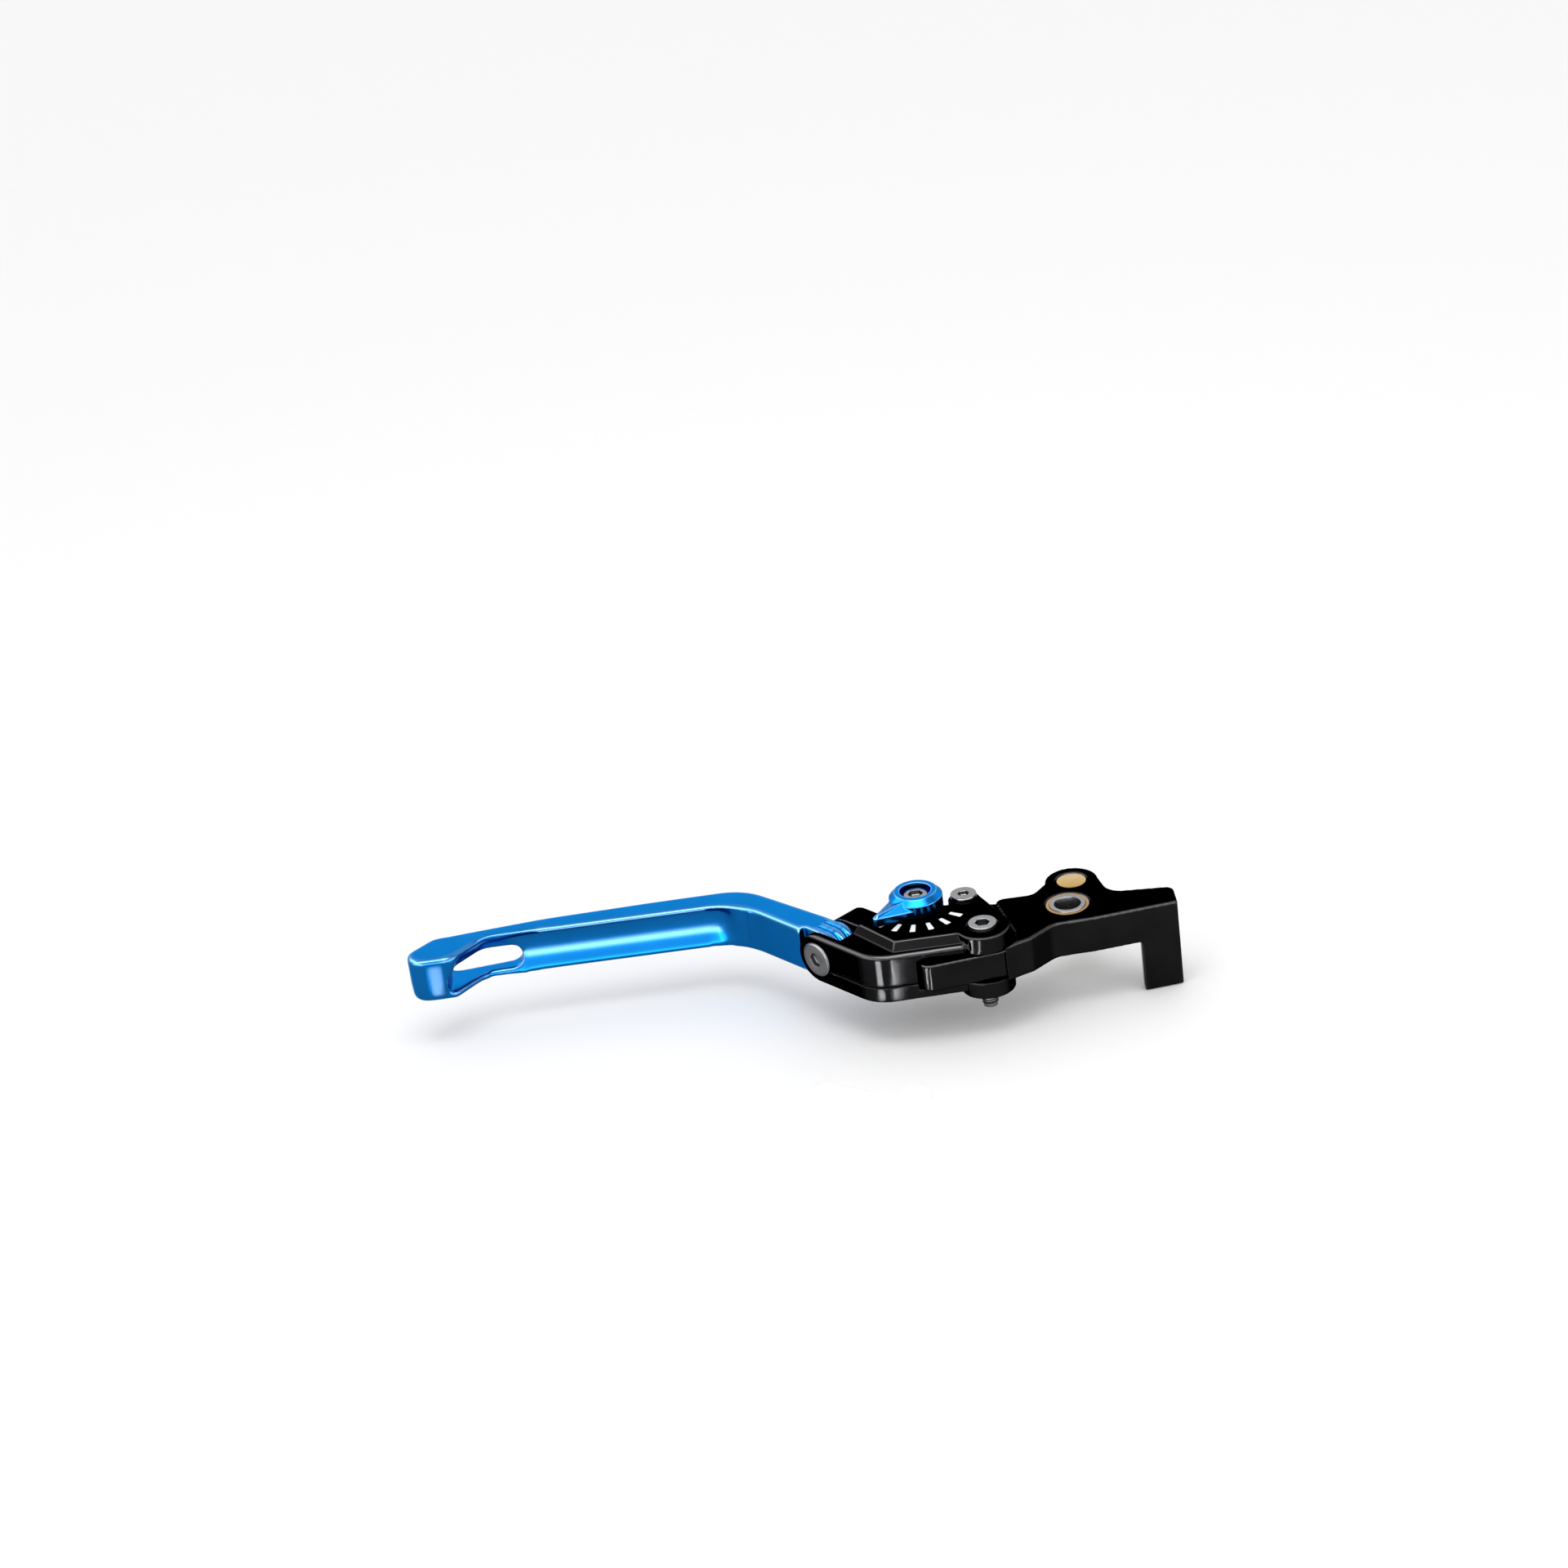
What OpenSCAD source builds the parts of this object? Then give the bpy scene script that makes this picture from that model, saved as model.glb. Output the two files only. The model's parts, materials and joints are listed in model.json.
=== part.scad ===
// Folding, reach-adjustable hydraulic clutch lever, in millimetres.
// Origin: centre of the perch pivot, at mid height of the adaptor.
// +Z runs up the perch pivot, -X points to the tip of the blade, +Y points to the grip.

/* [Perch pivot] */
// Bore of the steel sleeve, which takes the shoulder of the perch bolt
pivot_bore_d = 8; // [6:0.1:8.4]
// Wall of the steel sleeve
sleeve_wall = 1.5; // [1.2:0.1:1.7]
// Length of the sleeve, clamped between the ears of the perch
sleeve_len = 12; // [11.8:0.1:13]
// Wall of the bronze bush that turns on the sleeve
pivot_bush_wall = 1; // [0.8:0.1:1.4]

/* [Adaptor] */
// Thickness of the eye, the neck and the arm
eye_thick = 11.5; // [10.6:0.1:11.7]
// Thickness of the tongue that fits between the plates of the lever body
tongue_thick = 8.6; // [8:0.1:9]
// Radius of the eye round the pivot
eye_r = 11; // [10:0.1:12]
// Reach of the switch arm to the right of the pivot
arm_reach = 32.1; // [30:0.1:36]
// Width of the switch leg
leg_w = 11.8; // [8:0.1:14]
// Depth of the switch leg from front to back
leg_deep = 4.6; // [3:0.1:6]
// Level of the foot of the switch leg, below the pivot's middle
leg_drop = 22.3; // [16:0.1:26]

/* [Pushrod barrel] */
// Distance of the barrel behind the pivot
barrel_y = 14.5; // [13.5:0.1:16]
// Distance of the barrel to the right of the pivot
barrel_x = 3; // [1:0.1:5]
// Radius of the barrel
barrel_r = 4.5; // [4.2:0.1:4.8]
// Diameter of the socket for the round end of the pushrod
pushrod_d = 6.2; // [5:0.1:6.4]

/* [Lever body] */
// Height of the lever body
body_h = 15.4; // [15:0.1:16.4]
// Level of the raised platform under the dial, above the middle
platform_z = 10.5; // [10.2:0.1:11.5]
// Width of the platform's sloping edge
platform_slope = 1.7; // [1:0.1:2.2]
// Gap between the two plates that hold the tongue
plate_gap = 9.6; // [9.4:0.1:9.9]
// Radius of the lug round the reach screw
lug_r = 8.2; // [7.8:0.1:8.6]
// Level of the foot of the lug, below the middle
lug_drop = 10; // [9:0.1:12]
// Radius of the plates round the dial
dial_seat_r = 8; // [7.9:0.1:8.3]
// Radius of the lobe round the stop screw
stop_lobe_r = 4.8; // [4.4:0.1:5]
// Turn of the lever body between its first and last position, in degrees
reach_angle = 8; // [4:0.5:8]

/* [Dial] */
// Outer radius of the dial
dial_r = 8.1; // [7.8:0.1:8.4]
// Height of the dial above the platform
dial_h = 5.5; // [5.3:0.1:6.5]
// Distance of the pointer's tip from the dial's axis
pointer_reach = 17.3; // [15:0.1:18.5]
// Number of positions of the dial
positions = 6; // [3:1:6]
// Turn of the dial from one position to the next, in degrees
position_step = 21; // [15:1:21]
// Mean radius of the ring of marks
mark_r = 13.6; // [13:0.1:14]
// Length of a mark
mark_len = 4.2; // [2:0.1:4.4]
// Radius of the detent ball
ball_r = 1.2; // [1:0.05:1.3]

/* [Screws] */
// Shank diameter of the reach screw
reach_screw_d = 5; // [4:0.1:5.4]
// Head diameter of the reach screw
reach_head_d = 8.5; // [8:0.1:9.4]
// Length of the reach screw's thread below the lug
reach_thread_out = 6.4; // [2:0.1:8]
// Shank diameter of the stop screw and of the dial's screw
small_screw_d = 4; // [3:0.1:4.2]
// Head diameter of the stop screw
stop_head_d = 7.9; // [7:0.1:8.4]
// Head diameter of the dial's screw
dial_head_d = 7.2; // [6.6:0.1:7.6]
// Shank diameter of the hinge bolt
hinge_bolt_d = 6; // [5:0.1:6.4]
// Head diameter of the hinge bolt
hinge_head_d = 10.5; // [9.5:0.1:11]

/* [Fold hinge] */
// Turn of the hinge face against the blade, seen from above, in degrees
hinge_yaw = 50; // [46:0.5:54]
// Thickness of the front ear
front_ear = 2.8; // [2.6:0.1:3.2]
// Width of the slot between the two ears
knuckle_slot = 9.3; // [8.8:0.1:9.6]
// Thickness of the rear ear
rear_ear = 9.2; // [9:0.1:10]
// Turn of the blade from riding to folded, in degrees
fold_angle = 90; // [60:1:90]

/* [Blade] */
// Distance of the blade's tip from the perch pivot
blade_reach = 200; // [196:0.5:206]
// Height of the blade
blade_h = 14.7; // [14:0.1:15.2]
// Depth of the blade between the front and back faces at its middle
grip_deep = 8.6; // [7.6:0.1:10]
// Depth of the scoop along the front
scoop_deep = 2.7; // [1.5:0.1:3.2]
// Radius of the scoop's hollow
scoop_r = 6; // [5.5:0.1:6.5]
// Height of the slot near the tip
tip_slot_h = 6.6; // [4:0.1:7]
// Length of the slot near the tip
tip_slot_len = 22.6; // [12:0.1:24]
// Rounding of the blade's long edges
blade_edge = 1.5; // [0.6:0.1:2]

/* [Hidden] */

$fn = 64;
arc_steps = 7;
eps = 0.01;
cut = 40;

// Clearances
run_gap = 0.03;
press_gap = 0.01;
thread_gap = 0.04;
side_gap = 0.2;

// Perch pivot
sleeve_r = pivot_bore_d / 2 + sleeve_wall;
bush_in_r = sleeve_r + run_gap;
bush_out_r = bush_in_r + pivot_bush_wall;
eye_top = eye_thick / 2;
tongue_top = tongue_thick / 2;

// Places of the axes in the lever body
reach_at = [-26.8, -14.9];
stop_at = [-30.5, 3.1];
dial_at = [-44.8, 2.3];
hinge_at = [-76.4, -3.1];
barrel_at = [barrel_x, barrel_y];

// Lever body
body_top = body_h / 2;
plate_in = plate_gap / 2;
lug_gap = 0.7;
nose_bend = 24.2;
front_right = [-33.5, -20.9];
nose_left = -47;
nose_front = -24.9;
nose_room = 0.6;
platform_left = [-62.7, -4.4];
platform_corner = [-53.3, -17.6];
rear_face = front_ear + knuckle_slot + rear_ear;

// Screws and springs in the lever body
stop_sleeve_r = small_screw_d / 2 + 0.75;
stop_sleeve_top = platform_z - 2.6;
reach_head_z = platform_z - 3.8;
marks_deep = 0.3;
reach_bush_r = 4;
reach_coil_r = 5.4;
reach_wire = 0.9;
shim_r = reach_coil_r - reach_wire / 2 - 0.15;
spring_room_r = 6.2;
spring_roof = -0.4;
spring_start = 120;
reach_turns = 2.5;
spring_leg_up = 1.2;
leg_len = 1.2;

// Groove on the front face of the body
groove_z = -2.6;
groove_w = 0.6;
groove_deep = 0.4;

// Fold hinge
fold_bush_r = 4.1;
fold_coil_r = 5;
spring_room_out = 5.9;
spring_floor = front_ear + knuckle_slot + 3.6;
head_gap = 0.15;
head_sunk = 0.7;
nut_across = 10;
nut_h = 4;
knuckle_in = front_ear + side_gap;
knuckle_out = front_ear + knuckle_slot - side_gap;
ear_r = body_top - 0.05;
knuckle_r = blade_h / 2 - 0.05;
knuckle_room = knuckle_r + 0.8;
root_front = 1;
root_gap = 0.5;

// Dial
cam_gap = 0.06;
cam_room_r = 6.8;
cam_top = tongue_top - 0.1;
cam_r = 6.2;
cam_back_r = 3.4;
dial_turn = (positions - 1) * position_step;
pointer_dir = -142;
dial_lift = 0.15;
dial_base = platform_z + dial_lift;
dial_top = platform_z + dial_h;
dial_floor = dial_base + 2;
dial_head_h = 2.2;
recess_r = dial_head_d / 2 + 1.1;
drive_w = 5;
journal_r = 3.9;
journal_low = tongue_top + 0.1;
foot_r = 2.5;
foot_deep = 2;
detent_r = 5.9;
detent_dir = 200;
detent_floor = plate_in + 0.8;
ball_z = platform_z + 0.35 - ball_r;

// Blade: places along its front and back faces, and the radii of its bends in plan
blade_top = blade_h / 2;
front_y = 25.4;
back_y = front_y + grip_deep;
tip_x = -blade_reach;
tip_front = 14.3;
tip_front_r = 5.2;
tip_back = 21.6;
tip_back_r = 3.5;
shoulder = [tip_x + 7.6, 29];
shoulder_r = 5;
notch_x = tip_x + 13.3;
notch_r = 6.5;
step_x = tip_x + 23.8;
step_r = 8;
front_bend = 36.2;
front_bend_r = 22;
back_taper_x = -158;
back_taper = 1.1;
back_taper_r = 110;
back_crown_x = -124;
back_crown = 0.1;
back_crown_r = 90;
back_bend = [41.1, 9.4];
back_bend_r = 18;
root_len = 6.7;
tip_block = 11.7;
slot_left = tip_x + tip_block;
slot_low = -5.1;
slot_corner = 1.4;

// Scoop: its bend beside the slot, its end there and its right end
scoop_z = 1;
scoop_bend_x = tip_x + 25.1;
scoop_end = [tip_x + 19.6, -5.8];
scoop_right = -104.5;

// Flat slope below the scoop: its foot, its rise, how steep it is and where it ends
scoop_foot = -6.6;
scoop_rim = 5.4;
scoop_slope = 0.4;
scoop_front = 2.6;
scoop_flat_end = 3;

// ---- helpers -------------------------------------------------------------

function unit(v) = v / norm(v);
function dir(a) = [cos(a), sin(a)];

// Place in plan of a point given along the hinge face (t) and along the hinge axis (s)
function hinge_point(t, s) = hinge_at + t * dir(-hinge_yaw) + s * dir(90 - hinge_yaw);

// Points of one rounded corner: p is [x, y, radius], a and b are its neighbours
function corner(a, p, b) =
    let(
        c = [p[0], p[1]],
        u = unit([a[0], a[1]] - c),
        v = unit([b[0], b[1]] - c),
        half = acos(max(-1, min(1, u * v))) / 2,
        r = len(p) > 2 ? p[2] : 0
    )
    r <= 0 || half > 89.9 ? [c] :
    let(
        m = c + unit(u + v) * r / sin(half),
        from = c + u * r / tan(half) - m,
        to = c + v * r / tan(half) - m,
        a0 = atan2(from[1], from[0]),
        raw = atan2(to[1], to[0]) - a0,
        sweep = raw > 180 ? raw - 360 : raw < -180 ? raw + 360 : raw
    )
    [for (i = [0 : arc_steps]) m + r * dir(a0 + sweep * i / arc_steps)];

// Closed outline with its corners rounded
function rounded(pts) =
    let(n = len(pts))
    [for (i = [0 : n - 1]) each corner(pts[(i + n - 1) % n], pts[i], pts[(i + 1) % n])];

// Signed area of an outline, positive when it runs anticlockwise
function area(p) = let(n = len(p))
    sum([for (i = [0 : n - 1]) p[i][0] * p[(i + 1) % n][1] - p[(i + 1) % n][0] * p[i][1]]) / 2;
function sum(v, i = 0) = i >= len(v) ? 0 : v[i] + sum(v, i + 1);

// Outline moved inwards by d
function inset(p, d) =
    let(n = len(p), side = sign(area(p)))
    [for (i = [0 : n - 1])
        let(
            e0 = unit(p[i] - p[(i + n - 1) % n]),
            e1 = unit(p[(i + 1) % n] - p[i]),
            nrm = unit([-e0[1] - e1[1], e0[0] + e1[0]]) * side,
            k = max(0.4, sqrt((1 + e0 * e1) / 2))
        )
        p[i] + nrm * d / k];

// Tangent points of the outer tangent of two circles; side is 1 or -1
function tangent(c1, r1, c2, r2, side) =
    let(
        d = c2 - c1,
        a = atan2(d[1], d[0]) + side * acos((r1 - r2) / norm(d))
    )
    [c1 + r1 * dir(a), c2 + r2 * dir(a)];

// Twice the signed area of a triangle, and whether a point lies in an anticlockwise one
function side(a, b, c) = (b[0] - a[0]) * (c[1] - a[1]) - (b[1] - a[1]) * (c[0] - a[0]);
function holds(a, b, c, q) = side(a, b, q) > 0 && side(b, c, q) > 0 && side(c, a, q) > 0;

// Triangles that fill an anticlockwise outline, cut off one corner at a time
function fill(p, left, at = 0, done = []) =
    let(
        n = len(left),
        i = left[(at + n - 1) % n],
        j = left[at % n],
        k = left[(at + 1) % n],
        free = side(p[i], p[j], p[k]) > 0
            && len([for (m = left) if (m != i && m != j && m != k && holds(p[i], p[j], p[k], p[m])) m]) == 0
    )
    n < 3 || at >= n ? done :
    free ? fill(p, [for (m = left) if (m != j) m], 0, concat(done, [[i, j, k]])) :
    fill(p, left, at + 1, done);

// Plate of an outline with rounded top and bottom edges
module soft_plate(outline, half_h, r, steps = 3) {
    p = area(outline) > 0 ? outline : [for (i = [len(outline) - 1 : -1 : 0]) outline[i]];
    n = len(p);
    rise = [for (k = [0 : steps]) 90 * k / steps];
    levels = concat(
        [for (a = rise) [r * (1 - sin(a)), -half_h + r * (1 - cos(a))]],
        [for (k = [steps : -1 : 0]) [r * (1 - sin(rise[k])), half_h - r * (1 - cos(rise[k]))]]);
    m = len(levels);
    points = [for (l = levels) each [for (q = inset(p, l[0])) [q[0], q[1], l[1]]]];
    walls = [for (k = [0 : m - 2]) each [for (i = [0 : n - 1])
        [k * n + i, (k + 1) * n + i, (k + 1) * n + (i + 1) % n, k * n + (i + 1) % n]]];
    caps = fill(p, [for (i = [0 : n - 1]) i]);
    floor_faces = [for (t = caps) t];
    roof_faces = [for (t = caps) [for (k = [2 : -1 : 0]) (m - 1) * n + t[k]]];
    polyhedron(points, concat(floor_faces, walls, roof_faces), convexity = 8);
}

// Round bar along Z from z0 to z1
module rod(r, z0, z1) {
    translate([0, 0, z0]) cylinder(r = r, h = z1 - z0);
}

// Prism of a plan outline from z0 to z1
module slab(z0, z1) {
    translate([0, 0, z0]) linear_extrude(z1 - z0) children();
}

// Frame of the fold hinge: X along the hinge face, Z along the hinge axis, Y downwards
module at_hinge() {
    translate([hinge_at[0], hinge_at[1], 0]) rotate([0, 0, -hinge_yaw]) rotate([-90, 0, 0]) children();
}

module at(p, z = 0) {
    translate([p[0], p[1], z]) children();
}

// Hexagon across its flats, as a socket or a nut
module hex(across, z0, z1) {
    translate([0, 0, z0]) cylinder(d = across / cos(30), h = z1 - z0, $fn = 6);
}

// Coil of round wire along Z; legs along Z may leave its foot and its top
module coil(r, wire, pitch, turns, leg_down = 0, leg_up = 0) {
    sides = 8;
    per_turn = 20;
    steps = round(turns * per_turn);
    last = 360 * steps / per_turn;
    path = concat(
        leg_down > 0 ? [[r, 0, -leg_down]] : [],
        [for (i = [0 : steps]) [r * cos(360 * i / per_turn), r * sin(360 * i / per_turn),
            pitch * i / per_turn]],
        leg_up > 0 ? [[r * cos(last), r * sin(last), pitch * steps / per_turn + leg_up]] : []);
    n = len(path);
    ahead = [for (i = [0 : n - 1]) unit(path[min(i + 1, n - 1)] - path[max(i - 1, 0)])];
    ring_points = [for (i = [0 : n - 1])
        let(
            out = unit([path[i][0], path[i][1], 0]),
            b = unit(cross(ahead[i], out)),
            a = unit(cross(b, ahead[i]))
        )
        each [for (k = [0 : sides - 1]) path[i] + wire / 2 * (a * cos(360 * k / sides)
            + b * sin(360 * k / sides))]];
    walls = [for (i = [0 : n - 2]) each [for (k = [0 : sides - 1])
        [i * sides + k, (i + 1) * sides + k, (i + 1) * sides + (k + 1) % sides,
            i * sides + (k + 1) % sides]]];
    start_face = [for (k = [0 : sides - 1]) k];
    end_face = [for (k = [sides - 1 : -1 : 0]) (n - 1) * sides + k];
    polyhedron(ring_points, concat([start_face], walls, [end_face]), convexity = 10);
}

// ---- perch pivot and adaptor ---------------------------------------------

module pivot_sleeve() {
    color("silver") difference() {
        rod(sleeve_r, -sleeve_len / 2, sleeve_len / 2);
        rod(pivot_bore_d / 2, -cut, cut);
    }
}

module pivot_bush() {
    color("darkgoldenrod") difference() {
        rod(bush_out_r, -eye_top, eye_top);
        rod(bush_in_r, -cut, cut);
    }
}

// Plan of the thick part of the adaptor: neck, eye, barrel lobe and switch arm
module adaptor_plan() {
    lobe_r = barrel_r + 3.5;
    circle(r = eye_r);
    at(barrel_at) circle(r = lobe_r);
    polygon(rounded([
        [-21.8, -22.2], [-17.6, -19.9, 6], [-13.3, -18.1, 4], [-5.4, -11.4, 6], [6.7, -10.9, 20],
        [arm_reach, -7.6, 1], [arm_reach, 2.4, 2.5], [barrel_x + lobe_r + 2, 4.4, 6],
        [barrel_x + lobe_r, barrel_y], [barrel_x - lobe_r, barrel_y], [-9.4, 8.8, 4], [-21.6, 8.8, 3],
        [-17.6, -13]]));
}

// Plan of the tongue, from its rounded nose to the face that bears on the cam
module tongue_plan() {
    cam_face = dial_at[0] + cam_r;
    polygon(rounded([
        [-17, -19.6], [-22.7, -21.2], [nose_left, nose_front, 3.4], [nose_left, -16.4, 3.2],
        [-41.5, -13.6, 6], [cam_face, -7.2, 3], [cam_face, stop_at[1] + 6, 1.5],
        [stop_at[0] + 4, stop_at[1] + 6.6, 3], [-17, 8]]));
}

module adaptor() {
    swing = norm(stop_at - reach_at);
    start = atan2(stop_at[1] - reach_at[1], stop_at[0] - reach_at[0]);
    slot_r = stop_sleeve_r + 0.2;
    color("dimgray") difference() {
        union() {
            slab(-eye_top, eye_top) difference() {
                adaptor_plan();
                at(reach_at) circle(r = lug_r + lug_gap);
            }
            slab(-tongue_top, tongue_top) tongue_plan();
            switch_leg();
        }
        rod(bush_out_r + press_gap, -cut, cut);
        at(reach_at) rod(reach_bush_r + press_gap, -cut, cut);
        at(reach_at) rod(spring_room_r, -cut, spring_roof);
        at(reach_at) rotate([0, 0, spring_start + 360 * reach_turns]) translate([reach_coil_r, 0, -1])
            cylinder(r = 0.6, h = 1.6);
        at(barrel_at) rod(barrel_r + run_gap, -cut, cut);
        at(barrel_at) translate([0, -barrel_r - 0.9, -pushrod_d / 2 - 0.5])
            cube([cut, 2 * barrel_r + 1.8, pushrod_d + 1]);
        at(reach_at) translate([0, 0, -cut / 2]) rotate([0, 0, start - reach_angle])
            rotate_extrude(angle = reach_angle)
                translate([swing - slot_r, 0]) square([2 * slot_r, cut]);
        for (a = [0, -reach_angle]) at(reach_at) rotate([0, 0, start + a])
            translate([swing, 0, 0]) rod(slot_r, -cut, cut);
    }
}

// Leg that works the lever switch from the right end of the arm
module switch_leg() {
    slab(-leg_drop, -eye_top + 1) polygon(rounded([
        [arm_reach - leg_w, -9.12], [arm_reach, -7.6, 0.6], [arm_reach, -7.6 + leg_deep, 0.6],
        [arm_reach - leg_w, -9.12 + leg_deep]]));
}

module reach_bush() {
    color("darkgoldenrod") at(reach_at) difference() {
        rod(reach_bush_r, -tongue_top, tongue_top);
        rod(reach_screw_d / 2 + run_gap, -cut, cut);
    }
}

// Torsion spring that keeps the tongue against the cam
module reach_spring() {
    low = -tongue_top + reach_wire / 2 + 0.1;
    color("silver") at(reach_at, low) rotate([0, 0, spring_start])
        coil(reach_coil_r, reach_wire, 1.05, reach_turns, plate_in + low + leg_len - 0.2, spring_leg_up);
}

module pushrod_barrel() {
    half_h = eye_top - 0.1;
    depth = 2.2;
    color("goldenrod") at(barrel_at) difference() {
        rod(barrel_r, -half_h, half_h);
        translate([-depth, 0, 0]) rotate([0, 90, 0]) cylinder(d = pushrod_d, h = cut);
    }
}

// ---- lever body ----------------------------------------------------------

// Plan of the lever body without its ears, its lug and its round seats
module body_plan() {
    notch = [(stop_at[0] - stop_lobe_r + dial_at[0] + dial_seat_r) / 2, 0.6];
    right = tangent(reach_at, lug_r - 0.1, stop_at, stop_lobe_r - 0.1, -1);
    polygon(rounded([
        hinge_point(0, 0), concat(hinge_point(nose_bend, 0), 12), front_right, reach_at, right[0], right[1],
        stop_at, concat(notch, 0.5), dial_at, hinge_point(10.8, rear_face), hinge_point(0, rear_face)]));
}

// Plan of the space between the plates: the cam's room and the way of the tongue
module slot_plan() {
    at(dial_at) circle(r = cam_room_r);
    polygon(rounded([
        [nose_left - nose_room, -cut], [nose_left - nose_room, -16, 3], [dial_at[0] - 3, -12, 5],
        [dial_at[0] - 3, dial_at[1]], [dial_at[0] + cam_room_r / 2, dial_at[1]],
        [dial_at[0] + cam_room_r / 2, cut], [cut, cut], [cut, -cut]]));
}

// Cuts away what stands outside a sloping edge of the platform; p is on its foot
module slope_cut(p, yaw) {
    reach = 30;
    at(p) rotate([0, 0, yaw]) rotate([90, 0, 90]) translate([0, 0, -reach]) linear_extrude(2 * reach)
        polygon([[0, body_top], [-2 * platform_slope, 2 * platform_z - body_top],
            [cut, 2 * platform_z - body_top], [cut, body_top]]);
}

// Body before its holes: plate with the platform, lug, round seats and ears
module body_block() {
    edge_yaw = atan2(platform_corner[1] - platform_left[1], platform_corner[0] - platform_left[0]);
    difference() {
        slab(-body_top, platform_z) body_plan();
        slope_cut(platform_corner + [0, -platform_slope], 180);
        slope_cut(platform_left + platform_slope * dir(edge_yaw - 90), edge_yaw + 180);
        slope_cut(platform_left + platform_slope * dir(180 - hinge_yaw), 90 - hinge_yaw);
    }
    at(reach_at) rod(lug_r, -lug_drop, platform_z);
    at(stop_at) rod(stop_lobe_r, -body_top, platform_z);
    at(dial_at) rod(dial_seat_r, -body_top, platform_z);
    at_hinge() rod(ear_r, 0, front_ear);
    at_hinge() rod(ear_r, front_ear + knuckle_slot, rear_face);
}

// Groove along the front face, as a ring outside the inset outline
module front_groove() {
    p = rounded([hinge_point(0, 0), concat(hinge_point(nose_bend, 0), 12), front_right, [front_right[0], cut],
        hinge_point(0, cut)]);
    slab(groove_z - groove_w / 2, groove_z + groove_w / 2) difference() {
        polygon([hinge_point(8, -9), front_right + [9, -9], front_right + [-9, 9], hinge_point(8, 9)]);
        polygon(inset(p, groove_deep));
    }
}

module lever_body() {
    color([0.08, 0.08, 0.09]) difference() {
        body_block();
        slab(-plate_in, plate_in) slot_plan();
        front_groove();
        at_hinge() translate([-cut, -cut, front_ear]) cube([cut + knuckle_room, 2 * cut, knuckle_slot]);
        at_hinge() rod(hinge_bolt_d / 2 + run_gap, -cut, cut);
        at_hinge() rod(hinge_head_d / 2 + head_gap, -cut, head_sunk);
        at_hinge() rod(spring_room_out, front_ear + 1, spring_floor);
        at_hinge() rotate([0, 0, 180]) hex(nut_across + 0.3, rear_face - nut_h, cut);
        at(reach_at) rod(reach_screw_d / 2 + thread_gap, -cut, cut);
        at(reach_at) rod(reach_head_d / 2 + 0.35, reach_head_z, cut);
        at(stop_at) rod(small_screw_d / 2 + thread_gap, -cut, cut);
        at(stop_at) rod(stop_sleeve_r + thread_gap, 0, stop_sleeve_top);
        at(dial_at) rod(journal_r + run_gap, 0, cut);
        at(dial_at) rod(foot_r + run_gap, -plate_in - foot_deep - 0.1, 0);
        at(dial_at) translate(concat(detent_r * dir(detent_dir), detent_floor))
            cylinder(r = ball_r + run_gap, h = cut);
        at(dial_at, platform_z - marks_deep) marks(marks_deep + 1, 0.02);
        at(reach_at) rotate([0, 0, spring_start + reach_angle / 2]) translate([reach_coil_r, 0, 0])
            rod(1.2, -plate_in - leg_len, 0);
    }
}

// Marks of the positions round the dial, one for each place of the pointer
module marks(h, grow) {
    for (i = [0 : positions - 1]) rotate([0, 0, pointer_dir + i * position_step])
        linear_extrude(h) polygon([
            [mark_r - mark_len / 2 - grow, -0.62 - grow], [mark_r + mark_len / 2 + grow, -0.88 - grow],
            [mark_r + mark_len / 2 + grow, 0.88 + grow], [mark_r - mark_len / 2 - grow, 0.62 + grow]]);
}

module position_marks() {
    color("white") at(dial_at, platform_z - marks_deep) marks(marks_deep + 0.04, 0);
}

module reach_shims() {
    thick = plate_in - tongue_top - 0.04;
    color("gainsboro") for (z = [tongue_top + 0.02, -tongue_top - 0.02 - thick])
        at(reach_at) difference() {
            rod(shim_r, z, z + thick);
            rod(reach_screw_d / 2 + run_gap, -cut, cut);
        }
}

module reach_screw() {
    head_floor = reach_head_z;
    color("silver") at(reach_at) difference() {
        union() {
            rod(reach_screw_d / 2, -lug_drop - reach_thread_out, head_floor + eps);
            rod(reach_head_d / 2, head_floor, head_floor + reach_screw_d);
        }
        hex(4, head_floor + 2.4, cut);
    }
}

module stop_screw() {
    head_floor = platform_z - 0.8;
    color("silver") at(stop_at) difference() {
        union() {
            rod(small_screw_d / 2, -body_top, platform_z);
            rod(stop_head_d / 2, platform_z, platform_z + 1.9);
        }
        hex(3, head_floor + 1.2, cut);
    }
}

// Hardened sleeve on the stop screw, which meets the ends of the adaptor's slot
module stop_sleeve() {
    color("gray") at(stop_at) difference() {
        rod(stop_sleeve_r, -plate_in, stop_sleeve_top);
        rod(small_screw_d / 2 + press_gap, -cut, cut);
    }
}

// ---- dial ----------------------------------------------------------------

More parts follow.
